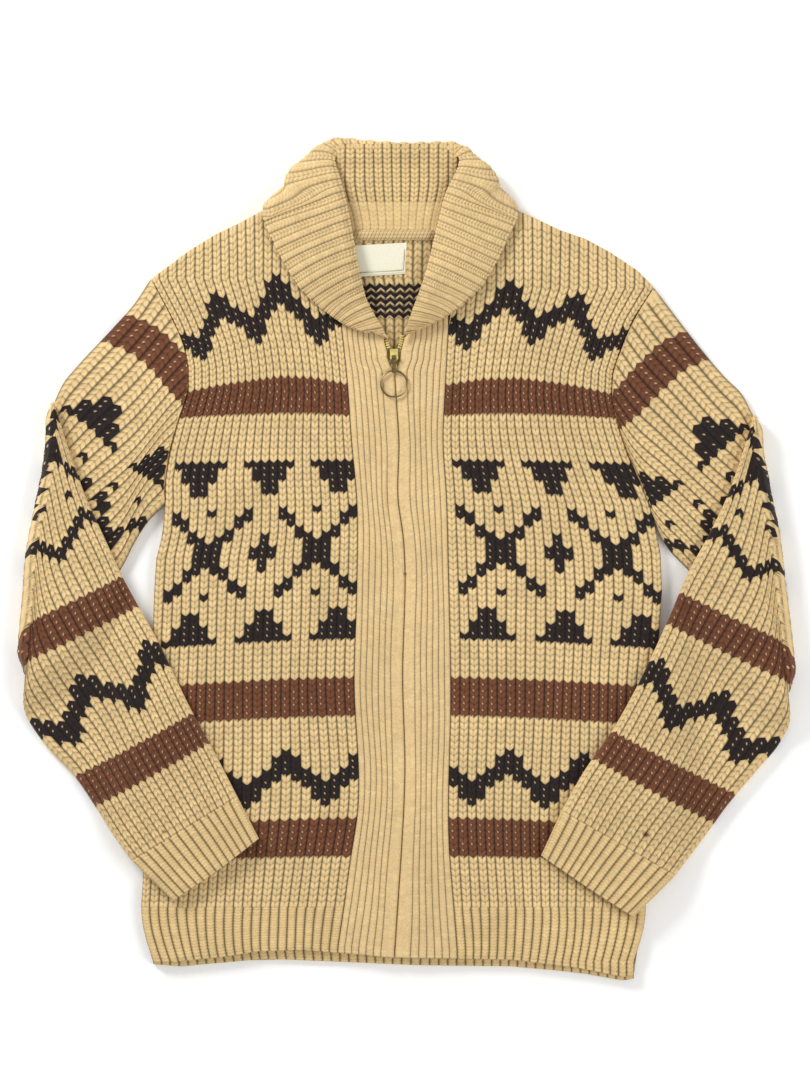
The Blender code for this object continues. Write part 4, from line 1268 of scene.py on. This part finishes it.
def thinner_at_ends(count, reach, least):
    """Shares of the full thickness along a line of points: less near both of its ends."""
    from_end = np.minimum(np.arange(count), count - 1 - np.arange(count))
    return np.sqrt(np.clip(from_end / reach, least, 1))


pinch = thinner_at_ends(STRIP_POINTS, 14, 0.3)[:, None]
edge_pinch = thinner_at_ends(SECTION_POINTS, 2.5, 0.25)[None, :]
collar_half = (COLLAR_THICK / 2 * pinch * edge_pinch)[:, :, None]


def read_grid(values, u, v):
    """Reads one of the collar's tables at shares of the strip's length and width."""
    long, wide = STRIP_POINTS - 1, SECTION_POINTS - 1
    a, b = np.clip(u * long, 0, long - 0.001), np.clip(v * wide, 0, wide - 0.001)
    i, j = a.astype(int), b.astype(int)
    f, g = (a - i)[..., None], (b - j)[..., None]
    near = values[i, j] * (1 - f) + values[i + 1, j] * f
    return near * (1 - g) + (values[i, j + 1] * (1 - f) + values[i + 1, j + 1] * f) * g


collar_top = collar_middle + collar_normal * collar_half
collar_low = collar_middle - collar_normal * collar_half
collar_faces_up = np.clip((collar_normal[:, :, 2:3] + 0.3) * 3, 0, 1)
strip_step = np.linalg.norm(np.diff(collar_middle[:, 12], axis=0), axis=1)
strip_length = strip_step.sum()
section_length = np.linalg.norm(np.diff(collar_middle, axis=1), axis=2).sum(1)
print("collar strip:", strip_length.round(), "mm long, up to", section_length.max().round(), "mm wide")

# %% [markdown]
# The fall's broad ribs cross the strip and lean towards its front ends. Stitches stand out only where the
# strip faces up. What is tucked under is plain.

# %% The fall's stitches
def collar_shares(u, v):
    """Where a wale and a course lie on the strip. The ribs lean towards the front ends as they go out."""
    s, t = u / COLLAR_WALES, v / COLLAR_COURSES
    out = np.minimum(np.interp(s, np.linspace(0, 1, STRIP_POINTS), section_length) * t, 85)
    lean = 1 - 2 * smooth((s - 0.42) / 0.16)
    ends = smooth(np.minimum(s, 1 - s) / 0.12)
    return s - 0.40 * lean * ends * out / strip_length, t


def collar_place(u, v):
    """The fall's outside, with its broad ribs: every other wale stands out."""
    s, t = collar_shares(u, v)
    wave = 0.75 * np.cos(np.pi * (u - 0.5)) * np.clip(v / 1.5, 0, 1)
    return read_grid(collar_top, s, t) + read_grid(collar_normal, s, t) * wave[..., None]


def collar_strength(u, v):
    """Full stitches where the strip faces up, and plain cloth where it is folded under."""
    s, t = collar_shares(u, v)
    return read_grid(collar_faces_up, s, t)[..., 0] * (0.85 + 0.15 * np.cos(np.pi * (u + 0.5)))


collar_under = read_grid(collar_low, *coarse_grid(1, 1, 120, 20))
collar_under[:, :, 2] = np.maximum(collar_under[:, :, 2], HAIR)
probe = surface_normals(collar_place(*np.meshgrid([10.0, 10.5, 11.0], [8.0, 8.5, 9.0])))
outwards = 1 if probe[1, 1, 2] > 0 else -1
collar, collar_cut = knit("collar", collar_place, COLLAR_WALES, COLLAR_COURSES, plain_chart, 23, relief=1.5,
                          inner=collar_under, flip=outwards, strength=collar_strength)
dress(collar, ["collar"], collar_wool)

# %% [markdown]
# Inside the neck stand the collar's back, in broad ribs above and finer ones below, the smooth roll of
# the seam, and the label, which is left without words.

# %% Inside the neck
STAND_WALES = 13
STAND_COURSES = 18
BINDING_WALES = 24
BINDING_COURSES = 4


def stand_plan(u, v):
    share = u / STAND_WALES
    y = 302.0 + 79 * v / STAND_COURSES
    narrow = 12 * (1 - smooth((y - 300) / 50))
    left, right = -66.0 + narrow, 47.0 - narrow
    return left + (right - left) * share, y


def stand_height(y, u):
    """Level on the collar's under layer, up and over its roll at the top, and down at the lobes."""
    beside = np.clip(np.minimum(u, STAND_WALES - u), 0, 1)
    return 10.7 + 2.5 * smooth((y - 358) / 14) - 0.9 * smooth((y - 374) / 7) - 1.2 * (1 - beside)


def stand_place(u, v):
    x, y = stand_plan(u, v)
    return np.stack([x, y, stand_height(y, u)], -1)


def stand_strength(u, v):
    """Broad ribs above, and lower, finer-looking ones below."""
    return 1.25 - 0.6 * smooth((6.5 - v) / 1.0)


stand_x, stand_y = stand_plan(*coarse_grid(STAND_WALES, STAND_COURSES, 8, 6))
stand_low = np.where(stand_y > 366, stand_height(stand_y, 6.0) - 1.6, 6.2)
stand_under = np.stack([stand_x, stand_y, stand_low], -1)
stand, stand_cut = knit("collar_stand", stand_place, STAND_WALES, STAND_COURSES, plain_chart, 24,
                        relief=1.2, inner=stand_under, strength=stand_strength)
dress(stand, ["collar_stand"], rib_wool)


def binding_place(u, v):
    """A roll of cloth along the seam, its stitches leaning like a cord's."""
    x = -53 + 82 * (u + 0.4 * (v - 2)) / BINDING_WALES
    turn = np.pi * v / BINDING_COURSES
    y = 297.5 - 4.8 * np.cos(turn)
    beside = np.clip(np.minimum(u, BINDING_WALES - u) / 3.0, 0, 1)
    z = 10.9 + (0.4 + 2.4 * np.sin(turn)) * (0.1 + 0.9 * smooth(beside))
    return np.stack([x, y, z], -1)


binding_under = binding_place(*coarse_grid(BINDING_WALES, BINDING_COURSES, 12, 3))
binding_under[:, :, 2] = 10.85
binding, binding_cut = knit("neck_binding", binding_place, BINDING_WALES, BINDING_COURSES, plain_chart, 25,
                            relief=0.55, inner=binding_under, dip=0.2)
dress(binding, ["neck_binding"], band_wool)

# %% [markdown]
# The zip is brass, its pull duller than its teeth. The tapes and the label are woven, with a finer grain
# than the wool. These pieces keep the frame's own shapes, so they only need new finishes.

# %% Brass and label finishes
def plain_finish(name, colour, rough, metal=0.0, grain=220.0, spread=0.12):
    made, tree, shader = new_material(name)
    shader.inputs["Roughness"].default_value = rough
    shader.inputs["Metallic"].default_value = metal
    grains = noise_node(tree, Scale=grain, Detail=4.0)
    ramp = node(tree, "ShaderNodeValToRGB", {})
    dark, pale = ramp.color_ramp.elements
    dark.position = 0.35
    dark.color = (*(c * (1 - spread * 2) for c in colour), 1)
    pale.position = 0.65
    pale.color = (*(min(c * (1 + spread), 1) for c in colour), 1)
    tree.links.new(grains, ramp.inputs["Fac"])
    tree.links.new(ramp.outputs["Color"], shader.inputs["Base Color"])
    add_bump(tree, grains, shader, 0.3, 0.0002)
    return made


brass = plain_finish("bright_brass", (0.93, 0.76, 0.26), 0.4, 0.7)
old_brass = plain_finish("dull_brass", (0.22, 0.16, 0.07), 0.4, 0.9)
tape = plain_finish("zip_tape", (0.36, 0.26, 0.15), 0.9, grain=1400.0)
label_cloth = plain_finish("woven_label", (0.80, 0.77, 0.60), 0.6, grain=1600.0, spread=0.05)
label_thread = plain_finish("label_thread", (0.45, 0.38, 0.20), 0.8, grain=1600.0)


finishes = {
    "zip_chain": brass,
    "zip_slider": brass,
    "zip_link": old_brass,
    "zip_ring": old_brass,
    "zip_tape_right": tape,
    "zip_tape_left": tape,
    "label": label_cloth,
}
for name, finish in finishes.items():
    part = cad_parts[name]
    part.data.materials.clear()
    part.data.materials.append(finish)
    print(name, "is in", finish.name)

# %% [markdown]
# Above the slider the two rows of teeth part. A tooth is a small block with rounded edges, and each row
# is one piece of six.

# %% The parted teeth
ZIP_X = -12.0
TEETH = 6
TOOTH_START = 194.2
TOOTH_STEP = 2.1
TOOTH_HIGH = 9.6
TOOTH_SIZE = (0.0032, 0.0013, 0.0032)


def build_teeth(name, sign):
    """One row of teeth above the slider, on the inner edge of its band."""
    copies = []
    for k in range(TEETH):
        y = TOOTH_START + k * TOOTH_STEP
        x = ZIP_X + sign * (band_gap(y) - 2.1)
        bpy.ops.object.select_all(action="DESELECT")
        spot = (np.array([x, y, TOOTH_HIGH]) + SHIFT) * MM
        bpy.ops.mesh.primitive_cube_add(size=1, location=spot)
        tooth = bpy.context.object
        tooth.scale = TOOTH_SIZE
        tooth.rotation_euler = (0, 0, sign * -0.35)
        bpy.ops.object.transform_apply(location=True, rotation=True, scale=True)
        bpy.ops.object.mode_set(mode="EDIT")
        bpy.ops.mesh.select_all(action="SELECT")
        bpy.ops.mesh.bevel(offset=0.00025, segments=2, affect="EDGES")
        bpy.ops.object.mode_set(mode="OBJECT")
        copies.append(tooth)
    for tooth in copies:
        tooth.select_set(True)
    bpy.context.view_layer.objects.active = copies[0]
    bpy.ops.object.join()
    row = bpy.context.object
    row.name = name
    row.data.materials.clear()
    row.data.materials.append(brass)
    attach(row, GARMENT)
    return row


for side_name, sign in (("right", -1), ("left", 1)):
    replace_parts(build_teeth("zip_teeth_" + side_name, sign), "zip_row_" + side_name)
print("parted teeth:", TEETH, "a side")

# %% [markdown]
# The label is a woven rectangle on the back's inside. Its only mark is a thin woven line round its edge.

# %% The label's woven border
BORDER_HALF = 0.35
BORDER_THICK = 0.16


def build_label_border():
    """Four thin strips a little inside the label's edge, following its slight tilt."""
    corners = np.array([(-50.0, 262.2), (-3.2, 265.0), (-2.0, 289.4), (-48.8, 286.6)])
    points, faces = [], []
    for a, b in zip(corners, np.roll(corners, -1, axis=0)):
        along = (b - a) / np.hypot(*(b - a))
        side = np.array([-along[1], along[0]]) * BORDER_HALF
        first = len(points)
        for z in (0.0, BORDER_THICK):
            for spot in (a - side, b - side, b + side, a + side):
                points.append((*spot, label_top(spot[1]) + z))
        for k in range(4):
            faces.append((first + k, first + (k + 1) % 4, first + 4 + (k + 1) % 4, first + 4 + k))
        faces.append((first + 4, first + 5, first + 6, first + 7))
        faces.append((first + 3, first + 2, first + 1, first))
    border = make_object("label_border", np.array(points), faces, np.zeros((0, 3)), np.zeros(0))
    border.data.materials.append(label_thread)
    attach(border, GARMENT)


label_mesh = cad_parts["label"].data
label_points = np.array([p.co for p in label_mesh.vertices]) / MM - SHIFT
label_high = label_points[label_points[:, 2] > np.median(label_points[:, 2])]
label_order = np.argsort(label_high[:, 1])


def label_top(y):
    return float(np.interp(y, label_high[label_order, 1], label_high[label_order, 2]))


print("label's border lies at", round(label_top(275.0), 2), "mm")
build_label_border()
